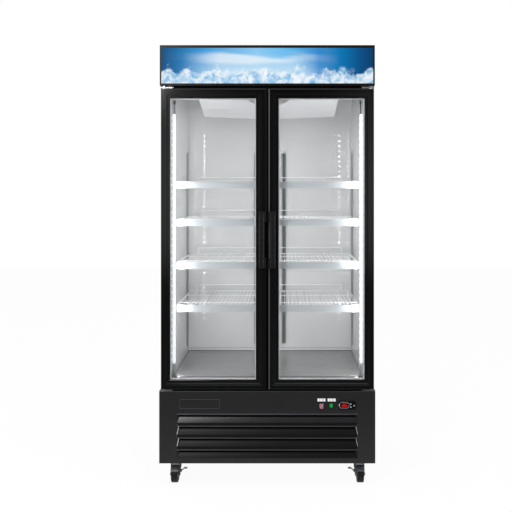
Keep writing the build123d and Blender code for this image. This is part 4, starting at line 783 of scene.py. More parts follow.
@dataclass
class Cabinet:
    """Outer sheets, insulation, lining, face frame and the bare fittings inside."""

    breaker_width: float = 11 * MM
    breaker_rise: float = 0.9 * MM
    breaker_bend: float = 0.3 * MM
    breaker_past: float = 4 * MM
    flange_height: float = 14 * MM
    flange_sheet: float = 1.2 * MM
    seal: float = 4 * MM

    def build(self) -> None:
        """Dresses the nodes and builds the strips beside the opening and the deck's rear edge."""
        dress(BLACK_SHEET, "side_panels")
        # Face frame and mullion in the darker coat: painted shade in the gaps round the doors
        dress(SHADED_BLACK, "face_frame", "center_mullion")
        dress(GALVANISED, "rear_panel", "roof_and_underside", "base_tray")
        dress(FOAM, "foam_insulation")
        dress(LINER, "inner_liner")
        dress(DECK, "floor_deck")
        dress(ZINC, "shelf_clips", "hinge_brackets", "screws_and_bolts")
        self.build_breakers()
        self.build_deck_edge()

    def build_breakers(self) -> None:
        """Flat strip with bent edges down each side of the opening."""
        low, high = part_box("center_mullion")
        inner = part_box("led_strips")[1].x
        outer, bend = inner + self.breaker_width, self.breaker_bend
        back, front = low.y - 0.1 * MM, low.y - self.breaker_rise
        section = np.array([(inner, back), (inner, front + bend), (inner + bend, front),
                            (outer - bend, front), (outer, front + bend), (outer, back)])
        strip = bar(section, Axis.Z, low.z - self.breaker_past, high.z + self.breaker_past)
        make("breaker_strips", strip + strip.mirrored(), BREAKER, "cabinet")

    def build_deck_edge(self) -> None:
        """Upturned flange at the deck's rear edge, with beads of sealant at its foot, at its top and
        along both side walls."""
        low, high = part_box("floor_deck")
        side, rear, top = high.x, high.y, high.z
        front, rise, seal = rear - self.flange_sheet, top + self.flange_height, self.seal
        flange = bar(oblong(front, rear, top, rise), Axis.X, -side, side)
        make("deck_flange", flange, COVER, "cabinet", bevel=0.3 * MM)
        foot = np.array([(front, top), (front, top + seal), (front - seal, top)])
        cap = np.array([(rear, rise), (rear, rise + seal / 2), (front - 0.4 * MM, rise)])
        beads = bar(foot, Axis.X, -side, side) + bar(cap, Axis.X, -side, side)
        corner = np.array([(side, top), (side - seal, top), (side, top + seal)])
        edge = bar(corner, Axis.Y, low.y, rear - seal)
        make("deck_sealant", beads + edge + edge.mirrored(), SEALANT, "cabinet")


@dataclass
class Shelving:
    """Pilasters, wire shelves and their price rails."""

    shade_strip_width: float = 7 * MM
    rear_offset: float = 76 * MM
    mullion_offset: float = 14 * MM
    rear_gap: float = 60 * MM
    front_gap: float = 38 * MM
    shade_strip_near: float = 0.3 * MM
    shade_strip_far: float = 1.6 * MM

    def build(self) -> None:
        """Dresses shelves, rails and pilasters, and lays black strips inside the pilasters: painted shade
        behind their slots.
        """
        dress(WIRE, "left_shelves", "right_shelves")
        dress(RAIL, "ticket_rails")
        dress(POST, "shelf_pilasters")
        low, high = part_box("shelf_pilasters")
        near, far, half = self.shade_strip_near, self.shade_strip_far, self.shade_strip_width / 2
        strips = [(self.rear_offset - half, self.rear_offset + half, high.y - far, high.y - near),
                  (self.mullion_offset - half, self.mullion_offset + half, low.y + near, low.y + far)]
        for middle in (high.y - self.rear_gap, low.y + self.front_gap):
            strips.append((high.x - far, high.x - near, middle - half, middle + half))
        shade_strip = joined([bar(oblong(*strip), Axis.Z, low.z + 1 * MM, high.z - 1 * MM) for strip in strips])
        # Black strips inside the pilasters: painted shade
        make("pilaster_shade_strips", shade_strip + shade_strip.mirrored(), PILASTER_SHADE, "cabinet")


@dataclass
class LightStrips:
    """Upright channels inside both side walls, each with a board, a milky cover and lensed beads."""

    wall: float = 1.5 * MM
    lip: float = 2.4 * MM
    depth: float = 11 * MM
    foot: float = 62 * MM
    board_thickness: float = 2.0 * MM
    cover: float = 0.2 * MM
    cover_front: float = 1.5 * MM
    cover_reach: float = 15.5 * MM
    cover_bevel: float = 0.5 * MM
    bead_pitch: float = 31.5 * MM
    bead_half: tuple[float, float, float] = (2.6 * MM, 8.5 * MM, 5.0 * MM)
    wash_foot: float = 90 * MM
    wash_width: float = 10 * MM
    wash_off: tuple[float, float] = (12 * MM, 5 * MM)
    wash_power: float = 3.0
    bead_power: float = 0.006
    bead_light: float = 12 * MM
    bead_inset: float = 16 * MM
    glint_half: tuple[float, float, float] = (2.8 * MM, 1.2 * MM, 5.5 * MM)
    glint_in: float = 4.6 * MM
    rail_clear: float = 16 * MM
    bead_setback: float = 9.5 * MM

    def build(self) -> None:
        """Builds the right-hand strip and mirrors it."""
        low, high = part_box("led_strips")
        back, front = high.x, high.x - self.depth
        y0, y1, z0, z1 = low.y, high.y, low.z, high.z
        wall, lip = self.wall, self.lip
        section = [(back, y0), (back, y1), (front, y1), (front, y1 - lip), (front + wall, y1 - lip),
                   (front + wall, y1 - wall), (back - wall, y1 - wall), (back - wall, y0 + wall),
                   (front + wall, y0 + wall), (front + wall, y0 + lip), (front, y0 + lip), (front, y0)]
        channel = bar(np.array(section), Axis.Z, z0 - self.foot, z1)
        face = back - wall - self.board_thickness
        board = bar(oblong(face, back - wall, y0 + wall, y1 - wall), Axis.Z, z0, z1)
        out, far, step = front - self.cover, y0 + self.cover_reach, self.cover_bevel
        near = y0 - self.cover_front
        cover = [(back, y0), (front, y0), (front, far), (out + step, far), (out, far - step),
                 (out, near + step), (out + step, near), (back, near)]
        covers = bar(np.array(cover), Axis.Z, z0, z1)
        count = int((z1 - z0) // self.bead_pitch)
        first = z0 + (z1 - z0 - (count - 1) * self.bead_pitch) / 2
        bead_y = (near + far) / 2
        levels = first + np.arange(count) * self.bead_pitch
        beads = self.bead(self.bead_half).at(*[(out, bead_y, level) for level in levels])
        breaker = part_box("center_mullion")[0].y - Cabinet.breaker_rise
        # Lit dots on the breaker strips: painted glints where the beads are mirrored, with no lamp behind
        # them
        glints = self.bead(self.glint_half).at(*[(back + self.glint_in, breaker, z) for z in levels])
        parts = (("led_channels", channel, CHANNEL), ("led_boards", board, BOARD),
                 ("led_covers", covers, MILKY), ("led_lenses", beads, LENS_AND_GLINT),
                 ("led_front_glints", glints, LENS_AND_GLINT))
        for name, shape, finish in parts:
            make(name, shape + shape.mirrored(), finish, "cabinet", ("led_strips",))
        dress(BLACK_PVC, "led_leads")
        free = levels[[not self.beside_rail(level) for level in levels]]
        for side in Side:
            self.light(side, out, y0, far, free, (z0 - self.wash_foot, z1))

    def beside_rail(self, level: float) -> bool:
        """Tells whether a price rail's end hides a lens at this height from the room."""
        return abs(corners_of("ticket_rails")[:, 2] - level).min() < self.rail_clear

    def light(self, side: Side, out: float, front: float, rear: float, levels: np.ndarray,
              span: tuple[float, float]) -> None:
        """Lights one strip: one long lamp washes the room, and a small lamp behind each lens gives
        the points of light that the enamel mirrors.

        Args:
            side: Side of the cabinet.
            out: Distance of the cover's face from the cabinet's middle.
            front: Y of the strip's front.
            rear: Y of the cover's rear edge.
            levels: Heights of the lenses.
            span: Lowest and highest point of the long lamp.
        """
        middle = (span[0] + span[1]) / 2
        place = (side.value * (out - self.wash_off[0]), front + self.wash_off[1], middle)
        wash = lamp(f"wash_{side.word}", place, (0.0, -0.05, middle),
                    (self.wash_width, span[1] - span[0]), self.wash_power)
        wash.visible_glossy = False
        wash.visible_transmission = False
        x, y = side.value * (out - self.bead_inset), rear + self.bead_setback
        for index, level in enumerate(levels):
            lamp(f"bead_{side.word}_{index}", (x, y, level), (x - side.value * 0.1, y + 0.5, level),
                 (self.bead_light, self.bead_light), self.bead_power, "DISK")

    def bead(self, half: tuple[float, float, float]) -> Shape:
        """Lens: a ball with its three half sizes along X, Y and Z."""
        angle = np.linspace(-np.pi / 2, np.pi / 2, 7)
        ball = revolved(np.stack([np.cos(angle), np.sin(angle)], -1), 10, closed=False)
        return Shape(ball.points * half, ball.faces)


@dataclass
class Fan:
    """Axial fan on one joint: a domed hub and blades that twist and bow."""

    joint: str
    node: str
    finish: Finish
    hub_radius: float = 18 * MM
    tip_inset: float = 0.3 * MM
    blades: int = 5
    thickness: float = 1.6 * MM
    sweep: float = 0.5

    def build(self) -> None:
        """Builds the fan in the place of its node."""
        origin, axis = joint_axis(self.joint)
        from_axis = corners_of(self.node) - np.array(origin)
        height = from_axis @ np.array(axis)
        radius = np.linalg.norm(from_axis - np.outer(height, np.array(axis)), axis=1).max()
        low, high = height.min(), height.max()
        depth = high - low
        turns = [np.array([(math.cos(a), -math.sin(a), 0), (math.sin(a), math.cos(a), 0), (0, 0, 1)])
                 for a in np.arange(self.blades) * 2 * math.pi / self.blades]
        blade = self.blade(radius - self.tip_inset, depth)
        fan = joined([self.hub(depth)] + [blade.turned(turn) for turn in turns])
        placed = fan.turned(turn_to(axis)).at(tuple(origin + axis * low))
        make(self.node + "_moulding", placed, self.finish, self.node.replace("_blade", ""),
             (self.node,))

    def hub(self, depth: float) -> Shape:
        """Cup with rounded shoulders: a closed profile turned round the axis."""
        r, edge = self.hub_radius, 2.5 * MM
        profile = np.array([(0, 0), (r - edge, 0), (r - edge * 0.3, edge * 0.3), (r, edge), (r, depth - edge),
                            (r - edge * 0.3, depth - edge * 0.3), (r - edge, depth), (0, depth)])
        return revolved(profile, 32, closed=False)

    def blade(self, tip: float, depth: float) -> Shape:
        """One blade: at share s of the span the chord turns about the axis by an angle that grows
        with s, and each point of it rises with its share t of the chord, with a bow of sin(pi t).

        Args:
            tip: Radius of the tip.
            depth: Height of the fan along its axis.

        Returns:
            The closed shape.
        """
        span = np.linspace(0, 1, 12)[:, None]
        loop = np.concatenate([np.linspace(0, 1, 13), np.linspace(1, 0, 13)[1:-1]])[None]
        upper = np.concatenate([np.ones(13), np.zeros(11)])[None]
        radius = self.hub_radius * 0.9 + span * (tip - self.hub_radius * 0.9)
        width = 0.62 + 0.25 * span
        angle = (loop - 0.5) * width + self.sweep * span ** 1.5
        thick = self.thickness * (0.4 + 0.6 * np.sin(np.pi * np.clip(loop, 0.02, 0.98)))
        usable = depth - 2 * self.thickness
        rise = self.thickness + usable * (0.08 + 0.84 * loop * (1 - 0.15 * span))
        bow = 0.1 * usable * np.sin(np.pi * loop)
        height = rise + bow + (upper - 0.5) * thick
        points = np.stack([radius * np.cos(angle), radius * np.sin(angle),
                           np.clip(height, 0, depth)], -1)
        return skin(points, wrap_columns=True, caps=True)


@dataclass
class Cooling:
    """Evaporator, condenser and all that joins them."""

    ring_pitch: float = 6 * MM
    ring_wire: float = 1.8 * MM
    ring_first: float = 24 * MM
    ring_last: float = 103 * MM

    def build(self) -> None:
        """Dresses the nodes and builds both fans and the inner rings of the guard."""
        dress(COVER, "evaporator_cover")
        dress(WIRE, "evaporator_fan_guard")
        dress(FIN, "evaporator_coil")
        # Black condenser fins: painted shade behind the slots
        dress(DARK_FIN, "condenser_coil")
        dress(CAST, "fan_motors")
        dress(ENAMEL, "compressor")
        dress(COPPER, "refrigerant_pipes")
        Fan("evaporator_fan_spin", "evaporator_fan_blade", PALE_FAN).build()
        Fan("condenser_fan_spin", "condenser_fan_blade", FAN).build()
        self.build_rings()

    def build_rings(self) -> None:
        """Close rings between the guard's own ones: small circles turned round the fan's axis."""
        origin, axis = joint_axis("evaporator_fan_spin")
        height = (corners_of("evaporator_fan_guard") - np.array(origin)) @ np.array(axis)
        angle = np.linspace(0, 2 * np.pi, 6, endpoint=False)
        circle = np.stack([np.cos(angle), np.sin(angle)], -1) * self.ring_wire / 2
        rings = joined([revolved(circle + (radius, 0), 48)
                        for radius in np.arange(self.ring_first, self.ring_last, self.ring_pitch)])
        middle = tuple(origin + axis * float(height.min() + height.max()) / 2)
        make("evaporator_guard_rings", rings.turned(turn_to(axis)).at(middle), WIRE, "cabinet")


@dataclass
class Canopy:
    """Lit header: housing, picture panel and lamp."""

    def build(self) -> None:
        """Dresses the header."""
        dress(HEADER_SHEET, "canopy_housing")
        dress(PICTURE, "canopy_panel")
        dress(TUBE, "canopy_lamp")


@dataclass
class Controls:
    """Louvred front with its switches, plates and thermostat."""

    louvres: int = 4
    louvre_drop: float = 106.7 * MM
    louvre_pitch: float = 54.8 * MM
    louvre_height: float = 39.0 * MM
    louvre_half: float = 417.5 * MM
    louvre_lip: float = 8.3 * MM
    louvre_slot: float = 8.0 * MM
    louvre_depth: float = 12.0 * MM
    end_slope: float = 9.0 * MM
    lip_half: float = 2.6 * MM
    lip_drop: float = 2.8 * MM
    lip_rise: float = 1.6 * MM
    band_rise: float = 2.2 * MM
    blade_skin: float = 0.3 * MM
    bow: float = 0.5 * MM
    slot_shade_reach: tuple[float, float] = (1.6 * MM, 4.6 * MM)
    fold_widths: tuple[float, float] = (3.0 * MM, 1.7 * MM)
    label_size: tuple[float, float] = (37 * MM, 13 * MM)
    label_rise: float = 12.8 * MM
    label_pitch: float = 47 * MM
    nameplate_size: tuple[float, float] = (186 * MM, 44 * MM)
    rim_rise: float = 0.7 * MM
    window_size: tuple[float, float] = (44 * MM, 26 * MM)
    window_middle: tuple[float, float] = (-14 * MM, 1.5 * MM)
    digit_size: tuple[float, float] = (10.5 * MM, 15.5 * MM)
    digit_step: float = 15.5 * MM
    digit_slant: float = 0.14
    stroke: float = 1.8 * MM

    def build(self) -> None:
        """Builds plates and display, and dresses the rest."""
        dress(BLACK_SHEET, "front_panel", "rear_grille")
        dress(BLACK_ABS, "switch_housings")
        dress(CASE_ABS, "thermostat_case")
        dress(RED_CAP, "power_rocker")
        dress(GREEN_CAP, "light_rocker")
        dress(KEY_AND_GLINT, "thermostat_up_button", "thermostat_down_button", "thermostat_set_button")
        dress(BLACK_PVC, "cable_gland")
        self.build_louvres()
        self.build_plates()
        self.build_display()

    def build_louvres(self) -> None:
        """Rolled lip above each louvre, bowed blade below its slot, a black strip behind it, the band
        pressed between two louvres, and the pale folds at the ends of the middle two. The lighter lips
        and folds are painted highlight; the black strips, the bands and the lower three blades are painted
        shade."""
        low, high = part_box("front_panel")
        face, half = low.y, self.louvre_half
        inner = half - self.end_slope
        deep = face + self.louvre_depth
        tops = [high.z - self.louvre_drop - index * self.louvre_pitch for index in range(self.louvres)]
        places = [(0.0, 0.0, top) for top in tops]
        angle = np.linspace(0, np.pi, 9)
        roll = np.stack([face - self.lip_rise * np.sin(angle),
                         self.lip_half * (1 - np.cos(angle)) - self.lip_drop], -1)
        # Lips lighter than the sheet: painted highlight
        make("louvre_lips", bar(roll, Axis.X, -half, half).at(*places), LIP_HIGHLIGHT, "cabinet")
        base = 2 * self.lip_half - self.lip_drop
        crown = self.louvre_pitch - self.louvre_height
        swell = np.array([(face, base), (face - self.band_rise, base + 1 * MM),
                          (face - 0.3 * MM, crown - 0.6 * MM), (face, crown)])
        band = bar(swell, Axis.X, -half + 1 * MM, half - 1 * MM)
        # Bands between the louvres in the darker coat: painted shade
        make("louvre_bands", band.at(*places[1:]), SHADED_BLACK, "cabinet")
        blade = self.blade(face, deep, inner, half)
        make("upper_louvre_blade", blade.at(places[0]), WIPED_BLADE, "cabinet")
        # Lower three blades in the darker coat, darker than the top one: painted shade
        make("louvre_blades", blade.at(*places[1:]), SHADED_BLACK, "cabinet")
        # Black strips behind the slots: painted shade
        near, far = deep + self.slot_shade_reach[0], deep + self.slot_shade_reach[1]
        foam = oblong(near, far, -self.louvre_lip - self.louvre_slot - 2 * MM, -self.louvre_lip + 1 * MM)
        make("louvre_slot_shades", bar(foam, Axis.X, -inner, inner).at(*places), SLOT_SHADE, "cabinet")
        # Pale strips on the louvres' ends: painted highlight
        folds = self.fold(face, -1, self.fold_widths[0]) + self.fold(face, 1, self.fold_widths[1])
        make("louvre_end_highlights", folds.at(*places[1:3]), END_HIGHLIGHT, "cabinet")

    def blade(self, face: float, deep: float, inner: float, outer: float) -> Shape:
        """Skin over one blade: straight from the slot to the face along X's ends, and raised in
        between by the bow times sin(pi t), where t runs from 0 at the slot to 1 at the face.

        Args:
            face: Y of the panel's face.
            deep: Y of the slot.
            inner: Half length at the slot.
            outer: Half length at the face.

        Returns:
            The closed shape, with z measured from the louvre's top.
        """
        t = np.linspace(0, 1, 9)
        y = deep + (face - deep) * t - self.blade_skin - self.bow * np.sin(np.pi * t)
        slot_foot = self.louvre_lip + self.louvre_slot
        z = -slot_foot - t * (self.louvre_height - slot_foot)
        reach = inner + (outer - inner) * t - 0.4 * MM
        back = y[::-1] + self.blade_skin + 0.2 * MM
        across = np.concatenate([reach, reach[::-1]])
        section = np.stack([np.concatenate([y, back]), np.concatenate([z, z[::-1]])], -1)
        ends = [np.insert(section, 0, side * across, axis=1) for side in (-1, 1)]
        return skin(np.array(ends), wrap_columns=True, caps=True)

    def fold(self, face: float, side: int, width: float) -> Shape:
        """Bent strip on the end of one louvre: from the outer edge in to the lip, and back out to
        the blade's foot.

        Args:
            face: Y of the panel's face.
            side: -1 for the left end and 1 for the right one.
            width: Width of the strip.

        Returns:
            The closed shape, with z measured from the louvre's top.
        """
        out, apex = self.louvre_half + 1 * MM, self.louvre_half - self.end_slope + 2 * MM
        middle = np.array([(out, 7 * MM), (apex, -1 * MM), (out, -self.louvre_height + 1 * MM)])
        edge = middle - (width, 0)
        loop = np.vstack([middle, edge[::-1]]) * (side, 1)
        rows = [np.insert(loop, 1, depth, axis=1) for depth in (face + 0.2 * MM, face - 0.7 * MM)]
        return skin(np.array(rows), wrap_columns=True, caps=True)

    def build_plates(self) -> None:
        """Bare white labels with a plain stroke and circle, and a bare black nameplate."""
        low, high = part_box("blank_plates")
        face = high.y
        width, height = self.nameplate_size
        field_step = ((0, 0), (0, -0.5 * MM), (0.3 * MM, -0.8 * MM), (1.4 * MM, -0.8 * MM),
                      (1.7 * MM, -0.5 * MM))
        name = plate(width, height, 2 * MM, field_step)
        name_place = (low.x + width / 2, face, low.z + height / 2)
        make("bare_nameplate", name.at(name_place), BLACK_SHEET, "cabinet",
             ("blank_plates",))
        edge = self.rim(width, height, 2 * MM).at((name_place[0], face - self.rim_rise, name_place[2]))
        make("nameplate_rim", edge, RIM_AND_EDGE_HIGHLIGHT, "cabinet", ("blank_plates",))
        width, height = self.label_size
        label = plate(width, height, 1.5 * MM, ((0, 0), (0, -0.5 * MM), (0.3 * MM, -0.8 * MM)))
        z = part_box("switch_housings")[1].z + self.label_rise
        middles = [high.x - width / 2 - self.label_pitch, high.x - width / 2]
        make("switch_labels", label.at(*[(x, face, z) for x in middles]), LABEL, "cabinet",
             ("blank_plates",))
        stroke = plate(2 * MM, 8 * MM, 0.9 * MM, ((0, 0), (0, -0.05 * MM)))
        circle = in_front(revolved(np.array([(2.6, 0), (4.0, 0), (4.0, 0.05), (2.6, 0.05)]) * MM, 24))
        front = face - 0.8 * MM
        marks = stroke.at(*[(x - 8 * MM, front, z) for x in middles])
        marks = marks + circle.at(*[(x + 7 * MM, front, z) for x in middles])
        make("label_marks", marks, MARK, "cabinet", ("blank_plates",))

    def build_display(self) -> None:
        """Dark window in the thermostat's recess, two lit digits, a bright rim and a pale dome at the rim's
        left end, a painted glint.
        """
        low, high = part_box("thermostat_case")
        x = (low.x + high.x) / 2 + self.window_middle[0]
        z = (low.z + high.z) / 2 + self.window_middle[1]
        recess = low.y + 1 * MM
        width, height = self.window_size
        pane = plate(width - 0.6 * MM, height - 0.6 * MM, height * 0.42,
                     ((0, 0), (0, -0.3 * MM), (0.4 * MM, -0.5 * MM)))
        make("display_window", pane.at((x, recess, z)), WINDOW, "cabinet")
        digits = self.digit("3").at((x - self.digit_step / 2, recess - 0.5 * MM, z))
        digits = digits + self.digit("6").at((x + self.digit_step / 2, recess - 0.5 * MM, z))
        make("display_digits", digits, SEGMENT, "cabinet")
        make("display_rim", self.rim(width + 3 * MM, height + 3 * MM, height * 0.5).at((x, low.y, z)), TRIM,
             "cabinet")
        angle = np.linspace(0, np.pi / 2, 6)
        dome = revolved(np.vstack([(0, 0), np.stack([2.2 * MM * np.cos(angle),
                                                     1.2 * MM * np.sin(angle)], -1)]), 20, closed=False)
        dome = in_front(Shape(dome.points * (1, 1.9, 1), dome.faces))
        # Pale dome at the rim's left end: painted glint
        glint_dome = dome.at((low.x + 3 * MM, low.y - 0.4 * MM, z))
        make("display_rim_glint", glint_dome, KEY_AND_GLINT, "cabinet")

    def rim(self, width: float, height: float, radius: float) -> Shape:
        """Raised half-round band: rounded rectangles at insets that rise and fall again."""
        rise = self.rim_rise
        steps = ((0, 0), (0.2 * MM, -rise * 0.7), (0.8 * MM, -rise), (1.4 * MM, -rise * 0.7), (1.6 * MM, 0))
        rows = [np.insert(rounded(width - 2 * inset, height - 2 * inset, radius - inset, 10),
                          1, depth, axis=1) for inset, depth in steps]
        return skin(np.array(rows), wrap_rows=True, wrap_columns=True)

    def digit(self, figure: str) -> Shape:
        """Seven-segment figure: pointed bars laid end to end in the plane that faces -Y, with x
        moved by the slant times z.

        Args:
            figure: "3" or "6".

        Returns:
            The shape, about the origin.
        """
        width, height = self.digit_size
        half = self.stroke / 2
        places = {"a": (0, height / 2, 0), "g": (0, 0, 0), "d": (0, -height / 2, 0),
                  "b": (width / 2, height / 4, 1), "c": (width / 2, -height / 4, 1),
                  "f": (-width / 2, height / 4, 1), "e": (-width / 2, -height / 4, 1)}
        lit = {"3": "abgcd", "6": "afgecd"}[figure]
        segments = []
        for letter in lit:
            x, z, upright = places[letter]
            reach = (height / 4 if upright else width / 2) - 0.3 * MM
            outline = np.array([(-reach, 0), (-reach + half, -half), (reach - half, -half), (reach, 0),
                                (reach - half, half), (-reach + half, half)])
            outline = outline[:, ::-1] if upright else outline
            segments.append(bar(outline + (x, z), Axis.Y, -0.15 * MM, 0.0))
        return joined(segments).turned(np.array([(1, 0, self.digit_slant), (0, 1, 0), (0, 0, 1)]))


@dataclass
class Door:
    """One glass door: mitred members, sealed panes with their spacer, gasket and handle."""

    side: Side
    latch_stile: float = 49 * MM
    hinge_stile: float = 42 * MM
    rail: float = 44 * MM
    lip: float = 12 * MM
    depth: float = 38 * MM
    bite: float = 10 * MM
    pane: float = 4 * MM
    cavity: float = 12 * MM
    trim: tuple[float, float] = (2.2 * MM, 7.8 * MM)
    glass_depth: float = 8 * MM
    mitre_gap: float = 0.08 * MM
    handle_post: float = 47 * MM
    plate_width: float = 28 * MM
    plate_border: float = 4 * MM
    plate_recess: float = 1 * MM
    rib: float = 1.8 * MM
    rib_rise: float = 0.5 * MM
    stop_pitch: float = 28 * MM
    stop_length: float = 7 * MM

    @property
    def body(self) -> str:
        """Name of the body that the door moves as."""
        return f"{self.side.word}_door"

    def build(self) -> None:
        """Builds the door on the right-hand side and mirrors it for the left."""
        low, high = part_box("right_door_frame")
        self.x0, self.x1, self.z0, self.z1 = low.x, high.x, low.z, high.z
        self.front = low.y
        self.add("stiles", self.stiles(), ANODISED, "anodised_black", "frame")
        self.add("rails", self.rails(), ANODISED_RAIL, "anodised_black", "frame")
        self.add("panes", self.panes(), GLASS, "door_glass", "glass")
        self.add("spacer_bar", self.spacer_bar(), SPACER, "extruded_aluminium", "glass")
        self.add("bellows_gasket", self.bellows(), GASKET, "gasket_rubber", "gasket")
        # Handle's sides darker than its face: painted shade
        dress(GRIP, f"{self.side.word}_door_handle")
        self.build_ribs()
        # Only the right door gets the pale edge strip: painted highlight from the lamp on the left
        if self.side is Side.RIGHT:
            self.build_edge_highlight()

    def build_ribs(self) -> None:
        """Ribs along both long sides of the recess in the handle's face, with pale stops at even
        steps, all lower than the recess is deep; their grey and pale tones are painted highlight."""
        low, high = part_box("right_door_handle")
        right, face, bend = high.x - self.plate_border, low.y + self.plate_recess, 0.3 * MM
        base, top = low.z + self.plate_border + 0.3 * MM, high.z - self.plate_border - 0.3 * MM
        ribs, stops = [], []
        levels = np.arange(low.z + self.stop_pitch, high.z - self.stop_pitch / 2, self.stop_pitch)
        for left in (right - self.rib, right + 2 * self.plate_border - self.plate_width):
            section = np.array([(left, face), (left + bend, face - self.rib_rise),
                                (left + self.rib - bend, face - self.rib_rise), (left + self.rib, face)])
            raised = section - (0, 0.3 * MM)
            ribs.append(bar(section, Axis.Z, base, top))
            stop = bar(raised, Axis.Z, 0.0, self.stop_length)
            stops.append(stop.at(*[(0, 0, level) for level in levels]))
        # Grey ribs and pale stops: painted highlight
        for word, shapes, finish in (("ribs", ribs, RIB_HIGHLIGHT), ("stops", stops, STOP_HIGHLIGHT)):
            make(f"{self.body}_handle_{word}", self.on_side(joined(shapes)), finish, self.body)

    def on_side(self, shape: Shape) -> Shape:
        """The shape as it is for the right-hand door, and mirrored for the left one."""
        return shape if self.side is Side.RIGHT else shape.mirrored()

    def build_edge_highlight(self) -> None:
        """Pale strip on the latch edge, a painted highlight, broken where the handle's posts wrap round to
        it.
        """
        low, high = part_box(f"{self.body}_handle")
        post, clear = self.handle_post, 0.4 * MM
        levels = ((self.z0 + 2 * MM, low.z - clear), (low.z + post + clear, high.z - post - clear),
                  (high.z + clear, self.z1 - 2 * MM))
        left, right = self.x0 + self.trim[0], self.x0 + self.trim[1]
        front = self.front - 0.4 * MM
        bend = 0.25 * MM
        section = np.array([(left, self.front + 0.2 * MM), (left, front + bend), (left + bend, front),
                            (right - bend, front), (right, front + bend), (right, self.front + 0.2 * MM)])
        for place, (bottom, top) in zip(("lower", "middle", "upper"), levels):
            make(f"{self.body}_edge_trim_{place}", bar(section, Axis.Z, bottom, top), RIM_AND_EDGE_HIGHLIGHT,
                 self.body)

    def add(self, word: str, shape: Shape, finish: Finish, slot: str, node: str) -> None:
        """Makes one piece of this door.

        Args:
            word: Last part of its name.
            shape: Its surface on the right-hand side.
            finish: Its finish.
            slot: Not used.
            node: Last part of the name of the node that it stands for.
        """
        make(f"{self.body}_{word}", self.on_side(shape), finish, self.body,
             (f"{self.body}_{node}",), smooth=20)

    def outline(self, width: float) -> np.ndarray:
        """Section of a member: distance in from the door's edge, and depth behind its front.

        Args:
            width: Width of the member.

        Returns:
            Array of points by 2.
        """
        tube = width - self.lip
        glass = self.glass_depth
        rear = glass + 2 * self.pane + self.cavity
        mm = np.array([(0.0, 2.0), (0.6, 0.6), (2.0, 0.0), (8.0, 0.0), (8.4, 1.0), (9.6, 1.0), (10.0, 0.0)])
        inner = np.array([(tube - 12 * MM, 0), (tube - 11.4 * MM, 0.5 * MM), (tube - 5 * MM, 0.5 * MM),
                          (tube - 4.2 * MM, 1.2 * MM), (tube, 1.3 * MM), (tube + 0.6 * MM, 2.5 * MM),
                          (width - 2.5 * MM, 2.5 * MM), (width - 0.7 * MM, 3.6 * MM), (width, 5.4 * MM),
                          (width, glass), (tube, glass), (tube, rear), (tube + 7.4 * MM, rear),
                          (tube + 8 * MM, rear + 1 * MM), (tube + 6 * MM, rear + 4.4 * MM),
                          (tube, rear + 6 * MM), (tube, self.depth), (0, self.depth)])
        return np.vstack([mm * MM, inner])

    def stiles(self) -> Shape:
        """Both uprights: at distance u from the edge an end lies u rail / width from the corner."""
        members = []
        for edge, width, inward in ((self.x0, self.latch_stile, 1), (self.x1, self.hinge_stile, -1)):
            section = self.outline(width)
            back = section[:, 0] * self.rail / width + self.mitre_gap
            x, y = edge + inward * section[:, 0], self.front + section[:, 1]
            ends = np.stack([np.stack([x, y, self.z0 + back], -1), np.stack([x, y, self.z1 - back], -1)])
            members.append(skin(ends, wrap_columns=True, caps=True))
        return joined(members)

    def rails(self) -> Shape:
        """Top and bottom members, cut back by the stiles in the same way."""
        members = []
        for edge, inward in ((self.z0, 1), (self.z1, -1)):
            section = self.outline(self.rail)
            z, y = edge + inward * section[:, 0], self.front + section[:, 1]
            latch = self.x0 + section[:, 0] * self.latch_stile / self.rail + self.mitre_gap
            hinge = self.x1 - section[:, 0] * self.hinge_stile / self.rail - self.mitre_gap
            ends = np.stack([np.stack([latch, y, z], -1), np.stack([hinge, y, z], -1)])
            members.append(skin(ends, wrap_columns=True, caps=True))
        return joined(members)

    def glass_box(self) -> tuple[float, float, float, float]:
        """Left, right, low and high edge of the panes."""
        return (self.x0 + self.latch_stile - self.bite, self.x1 - self.hinge_stile + self.bite,
                self.z0 + self.rail - self.bite, self.z1 - self.rail + self.bite)

    def panes(self) -> Shape:
        """Two panes with ground edges."""
        left, right, low, high = self.glass_box()
        edge = 0.6 * MM
        sheet = plate(right - left, high - low, 2 * MM, ((edge, self.pane), (0, self.pane - edge),
                                                         (0, edge), (edge, 0)))
        front = self.front + self.glass_depth
        middle = ((left + right) / 2, (low + high) / 2)
        return sheet.at(*[(middle[0], y, middle[1]) for y in (front, front + self.pane + self.cavity)])

    def spacer_bar(self) -> Shape:
        """Folded bar round the cavity, its seen face grooved in the middle."""
        left, right, low, high = self.glass_box()
        start = self.front + self.glass_depth + self.pane
        y = start + np.array([0.2, 4.6, 5.4, 6.6, 7.4, 11.8, 11.8, 0.2]) * MM
        inset = np.array([14, 14, 13.2, 13.2, 14, 14, 0.5, 0.5]) * MM
        return self.ring(inset, y, left, right, low, high)

    def bellows(self) -> Shape:
        """Gasket whose magnet bulb stands on a bellows, mitred at its corners."""
        low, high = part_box("right_door_gasket")
        profile = np.array([(0, 0), (0, 2.5), (4, 3.5), (5, 5.4), (1.5, 6.8), (0.4, 9), (1.6, 11.2),
                            (9, 11.6), (16.4, 11.2), (17.6, 9), (16.5, 6.8), (13, 5.4), (14, 3.5),
                            (18, 2.5), (18, 0)]) * MM
        return self.ring(profile[:, 0], low.y + profile[:, 1], low.x, high.x, low.z, high.z)

